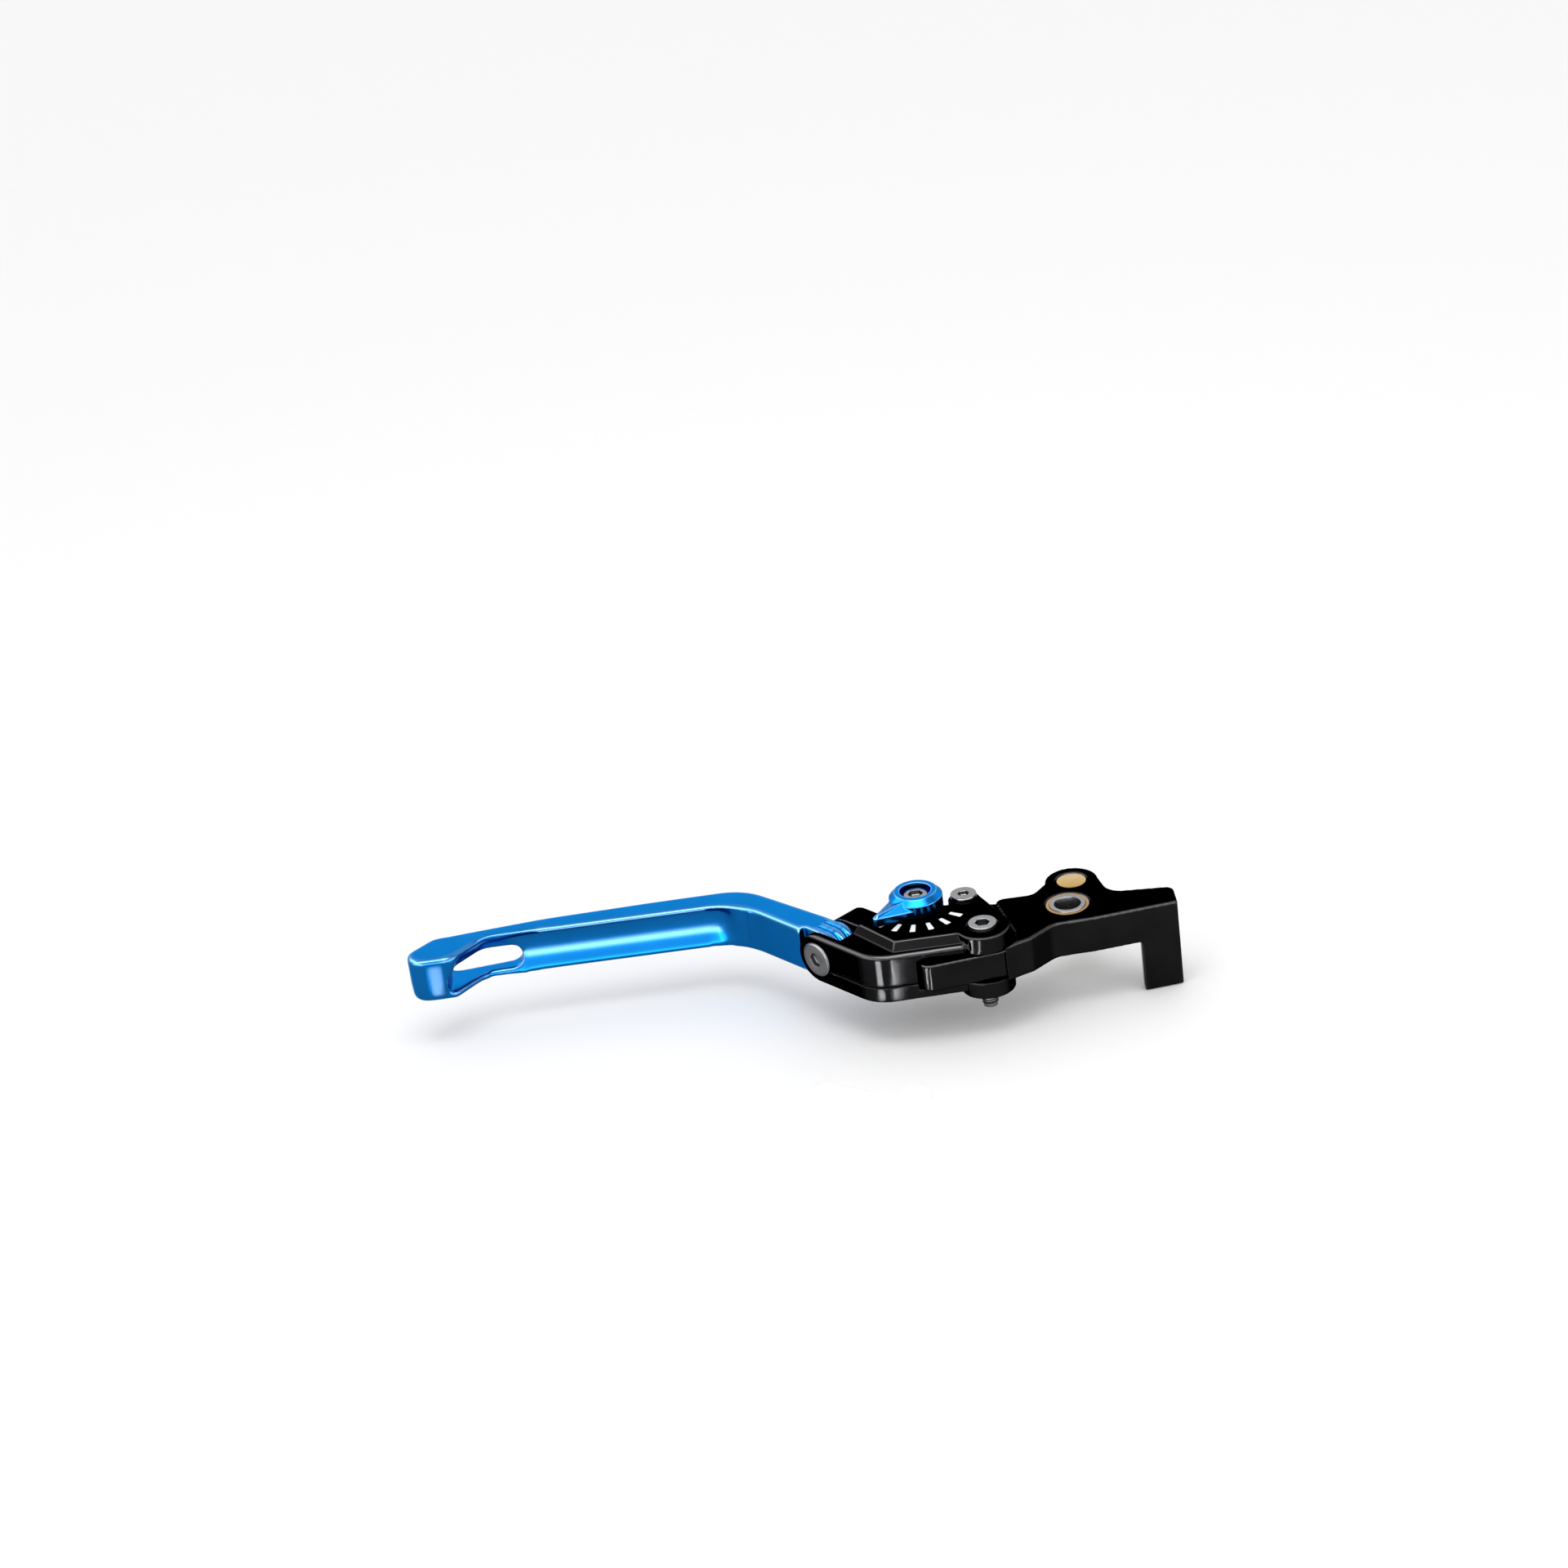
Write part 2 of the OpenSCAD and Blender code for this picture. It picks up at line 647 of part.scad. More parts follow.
module selector_dial() {
    ring_edge = 1.7;
    tip_r = 0.9;
    side = tangent([0, 0], dial_r - 0.6, [pointer_reach - tip_r, 0], tip_r, 1);
    ridge_end = pointer_reach - 1.6;
    ridge_side = [2.4, 0.35];
    wall_h = [1.6, 2.6];
    root = 2.5;
    root_w = side[0][1];
    low = dial_base + 0.45;
    tip_low = low + wall_h[1];
    color("dodgerblue") at(dial_at) difference() {
        union() {
            rod(dial_r, dial_base, dial_top - ring_edge);
            translate([0, 0, dial_top - ring_edge - eps])
                cylinder(r1 = dial_r, r2 = dial_r - ring_edge, h = ring_edge + eps);
            rotate([0, 0, pointer_dir]) polyhedron(
                [[root, -root_w, low], [root, root_w, low], [side[1][0], tip_r, low],
                    [pointer_reach, 0, low], [side[1][0], -tip_r, low],
                    [root, -root_w, low + wall_h[0]], [root, root_w, low + wall_h[0]],
                    [side[1][0], tip_r, tip_low], [pointer_reach, 0, tip_low],
                    [side[1][0], -tip_r, tip_low],
                    [root, ridge_side[0], dial_top - 0.15], [ridge_end, ridge_side[1], tip_low + 0.9]],
                [[0, 4, 3, 2, 1], [0, 5, 9, 4], [4, 9, 8, 3], [3, 8, 7, 2], [2, 7, 6, 1],
                    [0, 1, 6, 10, 5], [5, 10, 11], [5, 11, 9], [9, 11, 8], [8, 11, 7], [7, 11, 10],
                    [7, 10, 6]]);
        }
        rod(recess_r, dial_floor, cut);
        translate([-drive_w / 2 - press_gap, -drive_w / 2 - press_gap, 0])
            cube([drive_w + 2 * press_gap, drive_w + 2 * press_gap, cut]);
        rotate_extrude() translate([detent_r - 0.9, 0]) square([1.8, dial_base + 0.35]);
        for (i = [0 : positions - 1]) rotate([0, 0, detent_dir - i * position_step])
            translate([detent_r, 0, 0]) cylinder(r = 0.7, h = dial_base + 0.55);
    }
}

// Distance of the tongue's bearing face from the dial's axis after a turn of the lever body
function face_distance(a) =
    let(d = dial_at - reach_at, rest = d[0] + cam_r)
    rest - d[0] * cos(a) - d[1] * sin(a);

// Outline of the cam: it touches the bearing face at every setting of the dial
function cam_outline() =
    let(
        steps = 16,
        span = dial_turn - reach_angle,
        h = function(f) face_distance(reach_angle * f) - cam_gap,
        slope = function(f) (h(f - 0.01) - h(f + 0.01)) / (0.02 * span) * 180 / PI
    )
    concat(
        [for (i = [steps : -1 : 0])
            let(f = i / steps, a = -span * f) h(f) * dir(a) + slope(f) * dir(a + 90)],
        [for (a = [75 : 12 : 255]) cam_back_r * dir(a)]);

module selector_cam() {
    color("lightslategray") at(dial_at) difference() {
        union() {
            slab(-cam_top, cam_top) polygon(cam_outline());
            rod(foot_r, -plate_in - foot_deep, plate_in);
            rod(journal_r, journal_low, dial_base - 0.05);
            translate([-drive_w / 2, -drive_w / 2, journal_low])
                cube([drive_w, drive_w, dial_floor - 0.2 - journal_low]);
        }
        rod(small_screw_d / 2 + thread_gap, 2, cut);
    }
}

module selector_screw() {
    color("silver") at(dial_at) difference() {
        union() {
            rod(small_screw_d / 2, 2.4, dial_floor + eps);
            rod(dial_head_d / 2, dial_floor, dial_floor + dial_head_h);
        }
        hex(4, dial_floor + 0.6, cut);
    }
}

module detent_ball() {
    color("silver") at(dial_at) translate(concat(detent_r * dir(detent_dir), ball_z)) sphere(r = ball_r);
}

module detent_spring() {
    wire = 0.35;
    length = ball_z - ball_r - detent_floor - 0.1;
    turns = 5;
    color("silver") at(dial_at) translate(concat(detent_r * dir(detent_dir), detent_floor + wire / 2 + 0.03))
        coil(ball_r - wire / 2 - 0.1, wire, (length - wire) / turns, turns);
}

// ---- fold hinge ----------------------------------------------------------

module hinge_bolt() {
    proud = 0.8;
    color("lightgray") at_hinge() difference() {
        union() {
            rod(hinge_bolt_d / 2, head_sunk - eps, rear_face - 0.3);
            rod(hinge_head_d / 2, -proud + 0.5, head_sunk);
            translate([0, 0, -proud]) cylinder(r1 = hinge_head_d / 2 - 0.5, r2 = hinge_head_d / 2, h = 0.5 + eps);
        }
        hex(4, -cut, -proud + 1.6);
    }
}

module hinge_nut() {
    color("silver") at_hinge() difference() {
        rotate([0, 0, 180]) hex(nut_across, rear_face - nut_h, rear_face - 0.2);
        rod(hinge_bolt_d / 2 + press_gap, -cut, cut);
    }
}

module fold_bush() {
    color("darkgoldenrod") at_hinge() difference() {
        rod(fold_bush_r, knuckle_in, knuckle_out);
        rod(hinge_bolt_d / 2 + run_gap, -cut, cut);
    }
}

// Torsion spring that swings the blade back out
module fold_spring() {
    wire = 1.1;
    color("silver") at_hinge() translate([0, 0, knuckle_out + side_gap + wire / 2 + 0.1])
        coil(fold_coil_r, wire, 1.2, 1.9);
}

// ---- blade ---------------------------------------------------------------

function blade_outline() = rounded([
    hinge_point(0, root_front),
    concat(hinge_point(-front_bend, root_front), front_bend_r),
    [step_x, front_y, step_r],
    [notch_x, tip_front, notch_r],
    [tip_x, tip_front, tip_front_r],
    [tip_x, tip_back, tip_back_r],
    concat(shoulder, shoulder_r),
    [back_taper_x, back_y - back_taper, back_taper_r],
    [back_crown_x, back_y + back_crown, back_crown_r],
    concat(hinge_point(-back_bend[0], back_bend[1]), back_bend_r),
    hinge_point(-root_len, knuckle_out),
    hinge_point(0, knuckle_out)]);

module blade() {
    heel = knuckle_r + 0.25;
    color([0.02, 0.45, 0.85]) difference() {
        union() {
            soft_plate(blade_outline(), blade_top, blade_edge);
            at_hinge() rod(knuckle_r, knuckle_in, knuckle_out);
            at_hinge() translate([0, 0, knuckle_in]) cube([heel, knuckle_r, knuckle_out - knuckle_in]);
        }
        scoop();
        tip_slot();
        knuckle_grooves();
        ear_recess();
        at_hinge() rod(fold_bush_r + press_gap, -cut, cut);
    }
}

// Hollow along the front of the blade
module scoop() {
    axis_y = front_y + scoop_deep - scoop_r;
    bend = [scoop_bend_x, axis_y];
    end = [scoop_end[0], axis_y + scoop_end[1]];
    at(bend, scoop_z) rotate([0, 90, 0]) cylinder(r = scoop_r, h = scoop_right - bend[0]);
    for (p = [[scoop_right, axis_y], bend, end]) at(p, scoop_z) sphere(r = scoop_r + 2 * eps);
    at(end, scoop_z) rotate([0, 0, atan2(bend[1] - end[1], bend[0] - end[0])]) rotate([0, 90, 0])
        cylinder(r = scoop_r, h = norm(bend - end));
    at([step_x, front_y]) rotate([90, 0, 90]) linear_extrude(scoop_right + scoop_flat_end - step_x)
        polygon([[-scoop_front, scoop_foot - scoop_front / scoop_slope], [scoop_rim * scoop_slope,
            scoop_foot + scoop_rim], [-scoop_front, scoop_foot + scoop_rim]]);
}

// Slot through the blade beside the tip
module tip_slot() {
    right = slot_left + tip_slot_len;
    top = slot_low + tip_slot_h;
    translate([0, cut, 0]) rotate([90, 0, 0]) linear_extrude(cut) polygon(rounded([
        [slot_left, slot_low, slot_corner], [right, slot_low, tip_slot_h / 2 - eps],
        [right, top, tip_slot_h / 2 - eps], [slot_left, top, slot_corner]]));
}

// Grooves round the knuckle
module knuckle_grooves() {
    width = 0.9;
    deep = 0.8;
    for (i = [1, 2]) at_hinge()
        translate([0, 0, knuckle_in + i * (knuckle_out - knuckle_in) / 3 - width / 2]) difference() {
            translate([-5, -cut, 0]) cube([cut, cut, width]);
            translate([0, 0, -1]) cylinder(r = knuckle_r - deep, h = width + 2);
            translate([-cut, -knuckle_r + deep, -1]) cube([cut, cut, width + 2]);
        }
}

// Room for the front ear in the root of the blade, over its whole swing
module ear_recess() {
    room = ear_r + root_gap;
    at_hinge() rod(room, -cut, knuckle_in);
    at_hinge() translate([-room, -cut, -cut]) cube([cut, cut, cut + knuckle_in]);
}

pivot_sleeve();
pivot_bush();
adaptor();
reach_bush();
reach_spring();
pushrod_barrel();
lever_body();
reach_shims();
reach_screw();
stop_screw();
stop_sleeve();
selector_dial();
selector_cam();
selector_screw();
detent_ball();
detent_spring();
position_marks();
hinge_bolt();
hinge_nut();
fold_bush();
fold_spring();
blade();
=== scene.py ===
"""Looks of the folding reach-adjustable hand lever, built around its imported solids.

Lengths are in metres, in the frame of the solids: origin at the perch pivot, +Z up the pivot,
-X towards the tip of the blade and +Y towards the handlebar grip.
"""

from __future__ import annotations

import json
import logging
import math
from contextlib import contextmanager
from dataclasses import dataclass
from enum import Enum
from typing import Callable, Iterator, Sequence

import bmesh
import bpy
import numpy as np
from mathutils import Matrix, Vector

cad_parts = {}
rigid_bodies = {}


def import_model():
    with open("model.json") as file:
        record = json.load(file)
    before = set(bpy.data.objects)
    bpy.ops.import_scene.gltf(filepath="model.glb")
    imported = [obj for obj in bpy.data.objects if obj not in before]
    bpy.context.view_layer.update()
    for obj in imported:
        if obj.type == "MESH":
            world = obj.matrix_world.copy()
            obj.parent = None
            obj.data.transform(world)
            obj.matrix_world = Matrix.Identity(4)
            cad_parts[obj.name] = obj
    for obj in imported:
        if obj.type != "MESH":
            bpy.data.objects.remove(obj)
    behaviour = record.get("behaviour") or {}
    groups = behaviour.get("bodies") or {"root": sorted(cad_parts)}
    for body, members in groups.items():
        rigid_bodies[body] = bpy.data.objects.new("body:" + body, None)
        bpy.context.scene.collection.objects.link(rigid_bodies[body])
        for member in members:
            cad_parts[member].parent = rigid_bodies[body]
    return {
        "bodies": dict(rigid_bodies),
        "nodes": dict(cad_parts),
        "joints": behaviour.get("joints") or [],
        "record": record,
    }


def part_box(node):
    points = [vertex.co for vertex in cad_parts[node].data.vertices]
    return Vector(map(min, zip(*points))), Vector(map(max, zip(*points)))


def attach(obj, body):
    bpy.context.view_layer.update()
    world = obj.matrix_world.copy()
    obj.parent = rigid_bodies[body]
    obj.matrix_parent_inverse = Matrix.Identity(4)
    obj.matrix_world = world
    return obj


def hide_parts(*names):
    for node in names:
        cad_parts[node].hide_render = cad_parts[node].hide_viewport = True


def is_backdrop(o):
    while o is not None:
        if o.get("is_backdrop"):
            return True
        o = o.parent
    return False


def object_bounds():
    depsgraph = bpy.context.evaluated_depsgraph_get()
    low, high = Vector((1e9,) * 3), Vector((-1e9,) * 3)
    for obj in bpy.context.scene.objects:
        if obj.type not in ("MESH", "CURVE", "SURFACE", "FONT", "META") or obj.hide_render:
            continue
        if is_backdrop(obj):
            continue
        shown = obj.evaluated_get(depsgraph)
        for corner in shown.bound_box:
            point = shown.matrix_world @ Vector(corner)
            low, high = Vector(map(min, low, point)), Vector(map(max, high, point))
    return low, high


LOG = logging.getLogger("lever")
MM = 0.001

WELD = 2e-6  # Points closer than this are one point.
RELAX = 0.5  # Share of the way to its neighbours' mean that a point goes in one pass.
FLAT_WITHIN = 0.6  # Faces that meet at less than this, in degrees, are one flat.
ROUND_FROM = 30.0  # Edges sharper than this, in degrees, are rounded.
SHARP_FROM = 32.0  # Edges sharper than this, in degrees, are shaded sharp,
GROWN_SHARP_FROM = 50.0  # and these on wire and ink.
SMOOTHEST = 0.02  # Least roughness.
BRUSH_STRETCH = 0.02  # Scale of the grain along its brushing.

Object = bpy.types.Object
Socket = bpy.types.NodeSocket
Point = tuple[float, float, float]
Plan = tuple[float, float]
Colour = tuple[float, float, float]
Mover = Callable[[np.ndarray], None]
Shine = Callable[[np.ndarray, np.ndarray], np.ndarray]


class Slot(Enum):
    """The record's material slots."""

    BLUE = "blue_anodised"
    BLACK = "black_anodised"
    ZINC = "zinc_steel"
    BRIGHT = "bright_screw"
    SATIN = "satin_bolt"
    BALL = "polished_ball"
    SPRING = "spring_steel"
    BRONZE = "bronze"
    BRASS = "brass"
    WHITE = "white_ink"


def sine(degrees: float) -> float:
    """Gives the sine of an angle in degrees."""
    return math.sin(math.radians(degrees))


def smoothstep(share: np.ndarray) -> np.ndarray:
    """Eases shares from 0 to 1 in and out."""
    return share * share * (3 - 2 * share)


# ---- node helpers ----------------------------------------------------------


class Tree:
    """A shader or geometry node tree with short ways to add and join nodes."""

    def __init__(self, tree: bpy.types.NodeTree) -> None:
        """Wraps a tree.

        Args:
            tree: The node tree to fill.
        """
        self.tree = tree

    def add(self, kind: str, inputs: dict[str | int, object] | None = None,
            **settings: object) -> bpy.types.Node:
        """Adds a node.

        Args:
            kind: The node's type name.
            inputs: For inputs by name or index, an output to link or a plain value.
            settings: Attributes of the node.

        Returns:
            The new node.
        """
        node = self.tree.nodes.new(kind)
        for name, value in settings.items():
            setattr(node, name, value)
        for name, value in (inputs or {}).items():
            if isinstance(value, Socket):
                self.tree.links.new(value, node.inputs[name])
            else:
                node.inputs[name].default_value = value
        return node

    def maths(self, operation: str, *values: object) -> Socket:
        """Adds an operation on numbers.

        Args:
            operation: Name of the operation.
            values: Its inputs in order, each an output or a plain number.

        Returns:
            Output with the result.
        """
        return self.add("ShaderNodeMath", dict(enumerate(values)), operation=operation).outputs[0]

    def ramp(self, value: Socket, low: float, high: float,
             start: float = 0.0, end: float = 1.0, eased: bool = False) -> Socket:
        """Adds a map from one range of numbers to another.

        Args:
            value: Output to map.
            low: Where the range starts.
            high: Where the range ends.
            start: Result at and below the range's start.
            end: Result at and above the range's end.
            eased: Whether the result eases in and out.

        Returns:
            Output with the result.
        """
        limits = {"Value": value, "From Min": low, "From Max": high, "To Min": start, "To Max": end}
        kind = "SMOOTHSTEP" if eased else "LINEAR"
        return self.add("ShaderNodeMapRange", limits, interpolation_type=kind).outputs[0]

    def blend(self, share: Socket, first: object, second: object) -> Socket:
        """Adds a mix of two colours.

        Args:
            share: Output with the second colour's share.
            first: First colour, an output or plain.
            second: Second colour, an output or plain.

        Returns:
            Output with the mixed colour.
        """
        return self.add("ShaderNodeMix", {0: share, 6: first, 7: second}, data_type="RGBA").outputs[2]


# ---- finishes --------------------------------------------------------------


@dataclass(frozen=True)
class Finish:
    """A procedural metal, paint or plating finish.

    Attributes:
        slot: The record's slot that the finish dresses.
        colour: Base colour, linear.
        deep: Colour that the base drifts to in broad patches.
        metallic: Share of metal.
        rough: Mean roughness.
        rough_spread: How far the roughness wanders.
        grain: Scale of the fine grain, in waves for each metre.
        grain_height: Height of the fine grain.
        brushed: Axis along which fine lines run, or None.
        edge: Lightening of worn edges and of painted highlights, from 0 to 1.
        edge_colour: Colour of a worn edge, and of a painted highlight.
        edge_from: Mark at which an edge starts to lighten, by wear and painted highlight.
        graze: Tint of what is seen at a low angle.
    """

    slot: Slot
    colour: Colour
    deep: Colour
    metallic: float
    rough: float
    rough_spread: float
    grain: float
    grain_height: float
    brushed: str | None = None
    edge: float = 0.0
    edge_colour: Colour = (1.0, 1.0, 1.0)
    edge_from: float = 0.0
    graze: Colour = (1.0, 1.0, 1.0)

    def material(self) -> bpy.types.Material:
        """Builds the material.

        Returns:
            The finished material, named after its slot.
        """
        mat = bpy.data.materials.new(self.slot.value + "_finish")
        mat.use_nodes = True
        mat.node_tree.nodes.clear()
        t = Tree(mat.node_tree)
        place = t.add("ShaderNodeTexCoord").outputs["Object"]
        grain = self.add_grain(t, place)
        smoothest = max(SMOOTHEST, self.rough - self.rough_spread)
        relief = {"Strength": 0.35, "Distance": self.grain_height, "Height": grain}
        bump = t.add("ShaderNodeBump", relief)
        shader = t.add("ShaderNodeBsdfPrincipled", {
            "Base Color": self.add_colour(t, place),
            "Metallic": self.metallic,
            "Roughness": t.ramp(grain, 0.0, 1.0, smoothest, self.rough + self.rough_spread),
            "Specular Tint": (*self.graze, 1),
            "Normal": bump.outputs[0],
        })
        t.add("ShaderNodeOutputMaterial", {0: shader.outputs[0]})
        return mat

    def add_grain(self, t: Tree, place: Socket) -> Socket:
        """Adds the fine grain, drawn out along the brushing.

        Args:
            t: The material's tree.
            place: Output with the place on the object.

        Returns:
            Output with the grain, from 0 to 1.
        """
        stretch = [BRUSH_STRETCH if axis == self.brushed else 1.0 for axis in "xyz"]
        drawn = t.add("ShaderNodeMapping", {"Vector": place, "Scale": stretch})
        waves = {"Vector": drawn.outputs[0], "Scale": self.grain, "Detail": 2.0}
        return t.add("ShaderNodeTexNoise", waves).outputs["Fac"]

    def add_colour(self, t: Tree, place: Socket) -> Socket:
        """Adds the base colour, its patches, its worn edges and its painted highlights.

        Args:
            t: The material's tree.
            place: Output with the place on the object.

        Returns:
            Output with the colour.
        """
        patches = t.add("ShaderNodeTexNoise", {"Vector": place, "Scale": 90.0, "Detail": 3.0})
        drift = t.ramp(patches.outputs["Fac"], 0.35, 0.7)
        colour = t.blend(drift, (*self.colour, 1), (*self.deep, 1))
        if self.edge:
            # Lightens by the skin's mark: worn edges and painted highlights.
            wear_and_highlight = t.add("ShaderNodeAttribute", attribute_name="wear_and_highlight").outputs["Fac"]
            worn_and_highlit = t.ramp(wear_and_highlight, self.edge_from, 1.0, 0.0, self.edge)
            colour = t.blend(worn_and_highlit, colour, (*self.edge_colour, 1))
        return colour


FINISHES: tuple[Finish, ...] = (
    # In blue and black, the edge colour lightens worn edges and also paints highlights on lips, scoop, tip
    # and front chamfer.
    Finish(Slot.BLUE, (0.0035, 0.105, 0.325), (0.003, 0.096, 0.295), 1.0, 0.19, 0.03, 5200.0, 0.000004,
           edge=0.42, edge_colour=(0.2, 0.36, 0.55), edge_from=0.3, graze=(0.5, 0.7, 0.95)),
    Finish(Slot.BLACK, (0.0085, 0.0085, 0.009), (0.0115, 0.0115, 0.012), 1.0, 0.12, 0.03, 5200.0, 0.000004,
           edge=0.5, edge_colour=(0.055, 0.055, 0.057), edge_from=0.45, graze=(0.12, 0.12, 0.12)),
    Finish(Slot.ZINC, (0.21, 0.212, 0.218), (0.17, 0.172, 0.176), 1.0, 0.3, 0.08, 3000.0, 0.00001,
           brushed="x", graze=(0.6, 0.6, 0.6)),
    Finish(Slot.BRIGHT, (0.2, 0.202, 0.206), (0.16, 0.162, 0.166), 1.0, 0.2, 0.05, 2600.0, 0.000006,
           graze=(0.6, 0.6, 0.6)),
    Finish(Slot.SATIN, (0.15, 0.15, 0.152), (0.12, 0.12, 0.122), 1.0, 0.32, 0.05, 3800.0, 0.00001,
           graze=(0.6, 0.6, 0.6)),
    Finish(Slot.BALL, (0.5, 0.5, 0.51), (0.48, 0.48, 0.49), 1.0, 0.08, 0.02, 1500.0, 0.000003),
    Finish(Slot.SPRING, (0.22, 0.22, 0.23), (0.18, 0.18, 0.19), 1.0, 0.3, 0.06, 3000.0, 0.00001),
    Finish(Slot.BRONZE, (0.27, 0.165, 0.07), (0.22, 0.13, 0.055), 1.0, 0.42, 0.06, 2600.0, 0.00002),
    Finish(Slot.BRASS, (0.36, 0.25, 0.09), (0.32, 0.21, 0.075), 1.0, 0.28, 0.06, 2600.0, 0.00001),
    Finish(Slot.WHITE, (0.82, 0.82, 0.8), (0.76, 0.76, 0.74), 0.0, 0.45, 0.05, 2600.0, 0.00001),
)


# ---- meshes ----------------------------------------------------------------


def link(name: str, mesh: bpy.types.Mesh) -> Object:
    """Puts a mesh in the scene as a new object.

    Args:
        name: Name of the object.
        mesh: Its mesh.

    Returns:
        The new object, at the origin.
    """
    piece = bpy.data.objects.new(name, mesh)
    bpy.context.scene.collection.objects.link(piece)
    return piece


def mesh_piece(name: str, points: Sequence[Sequence[float]], edges: Sequence[tuple[int, int]],
               faces: Sequence[tuple[int, ...]]) -> Object:
    """Makes an object from plain lists.

    Args:
        name: Name of the object.
        points: Its points.
        edges: Its loose edges.
        faces: Its faces.

    Returns:
        The new object.
    """
    mesh = bpy.data.meshes.new(name)
    mesh.from_pydata(points, edges, faces)
    return link(name, mesh)


@contextmanager
def edited(mesh: bpy.types.Mesh) -> Iterator[bmesh.types.BMesh]:
    """Opens a mesh for editing and writes it back.

    Args:
        mesh: The mesh.

    Yields:
        The open mesh.
    """
    bm = bmesh.new()
    bm.from_mesh(mesh)
    yield bm
    bm.to_mesh(mesh)
    bm.free()


def welded_copy(node: Object, name: str) -> Object:
    """Copies a solid's mesh and joins its loose triangles.

    Args:
        node: The solid's object.
        name: Name of the new piece.

    Returns:
        The new piece, not yet riding on a body.
    """
    mesh = node.data.copy()
    mesh.name = name
    mesh.materials.clear()
    with edited(mesh) as bm:
        bmesh.ops.remove_doubles(bm, verts=bm.verts, dist=WELD)
    return link(name, mesh)


def clear_flats(piece: Object) -> None:
    """Joins the triangles of each flat face.

    Args:
        piece: The piece to change.
    """
    with edited(piece.data) as bm:
        bmesh.ops.dissolve_limit(bm, angle_limit=math.radians(FLAT_WITHIN), verts=bm.verts, edges=bm.edges)


def apply_modifiers(piece: Object) -> None:
    """Turns a piece's modifiers into its plain mesh.

    Args:
        piece: The piece to change.
    """
    graph = bpy.context.evaluated_depsgraph_get()
    mesh = bpy.data.meshes.new_from_object(piece.evaluated_get(graph))
    piece.modifiers.clear()
    piece.data = mesh


def smooth(piece: Object, angle: float = SHARP_FROM) -> None:
    """Shades a piece smooth.

    Args:
        piece: The piece to change.
        angle: Edges sharper than this, in degrees, stay sharp.
    """
    piece.data.shade_smooth()
    piece.data.set_sharp_from_angle(angle=math.radians(angle))


def soften(piece: Object, width: float, steps: int = 3,
           angle: float = ROUND_FROM) -> bpy.types.Modifier:
    """Adds a rounding to a piece's edges.

    Args:
        piece: The piece to change.
        width: Width of the rounding.
        steps: Steps of the rounding.
        angle: Edges sharper than this, in degrees, are rounded.

    Returns:
        The modifier that rounds them.
    """
    bevel = piece.modifiers.new("soft_edges", "BEVEL")
    bevel.width = width
    bevel.segments = steps
    bevel.limit_method = "ANGLE"
    bevel.angle_limit = math.radians(angle)
    return bevel


def cut_away(piece: Object, cutter: Object) -> None:
    """Cuts one solid out of a piece and throws the cutter away.

    Args:
        piece: The piece to change.
        cutter: The solid to cut out.
    """
    cut = piece.modifiers.new("cut", "BOOLEAN")
    cut.operation = "DIFFERENCE"
    cut.solver = "EXACT"
    cut.object = cutter
    apply_modifiers(piece)
    bpy.data.objects.remove(cutter)


def recast(piece: Object, grid: float, passes: int) -> None:
    """Turns a piece into one even skin whose edges and inner corners are soft.

    Args:
        piece: The piece, a closed solid.
        grid: Spacing of the skin's points.
        passes: How often the skin is relaxed; more passes make rounder edges.
    """
    skin = piece.modifiers.new("skin", "REMESH")
    skin.mode = "VOXEL"
    skin.voxel_size = grid
    skin.use_smooth_shade = True
    relax = piece.modifiers.new("relax", "SMOOTH")
    relax.factor = RELAX
    relax.iterations = passes
    apply_modifiers(piece)
    piece.data.shade_smooth()
    LOG.info("%s: %d faces", piece.name, len(piece.data.polygons))


def prism(name: str, outline: Sequence[Plan], low: float, high: float) -> Object:
    """Makes an upright prism.

    Args:
        name: Name of the object.
        outline: Anticlockwise corners in plan.
        low: Height of its foot.
        high: Height of its top.

    Returns:
        The prism.
    """
    n = len(outline)
    faces = [tuple(range(n - 1, -1, -1)), tuple(range(n, 2 * n))]
    faces += [(i, (i + 1) % n, n + (i + 1) % n, n + i) for i in range(n)]
    return mesh_piece(name, [(x, y, z) for z in (low, high) for x, y in outline], [], faces)


class Skin:
    """The points of a piece's even skin, and which of them are neighbours."""

    def __init__(self, piece: Object) -> None:
        """Reads the skin.

        Args:
            piece: The piece that has the skin.
        """
        self.mesh = piece.data
        self.points = self.read("co")
        edges = np.empty(len(self.mesh.edges) * 2, dtype=np.int32)
        self.mesh.edges.foreach_get("vertices", edges)
        self.edges = edges.reshape(-1, 2)
        self.count = np.maximum(np.bincount(edges, minlength=len(self.points)), 1)

    def read(self, title: str) -> np.ndarray:
        """Reads a vector of each point.

        Args:
            title: Name of the vector.

        Returns:
            One row for each point.
        """
        values = np.empty(len(self.mesh.vertices) * 3)
        self.mesh.vertices.foreach_get(title, values)
        return values.reshape(-1, 3)

    def write(self) -> None:
        """Puts the points back."""
        self.mesh.vertices.foreach_set("co", self.points.ravel())
        self.mesh.update()

    def relaxed(self, weight: float | np.ndarray, passes: int) -> np.ndarray:
        """Draws the points towards the mean of their neighbours.

        Args:
            weight: How far each point may move, from 0 to 1.
            passes: How often they move.

        Returns:
            The new places, one row for each point.
        """
        first, second = self.edges.T
        places = self.points.copy()
        mean = np.empty_like(places)
        for _ in range(passes):
            for axis in range(3):
                mean[:, axis] = (np.bincount(first, places[second, axis], len(places))
                                 + np.bincount(second, places[first, axis], len(places)))
            places += weight * RELAX * (mean / self.count[:, None] - places)
        return places


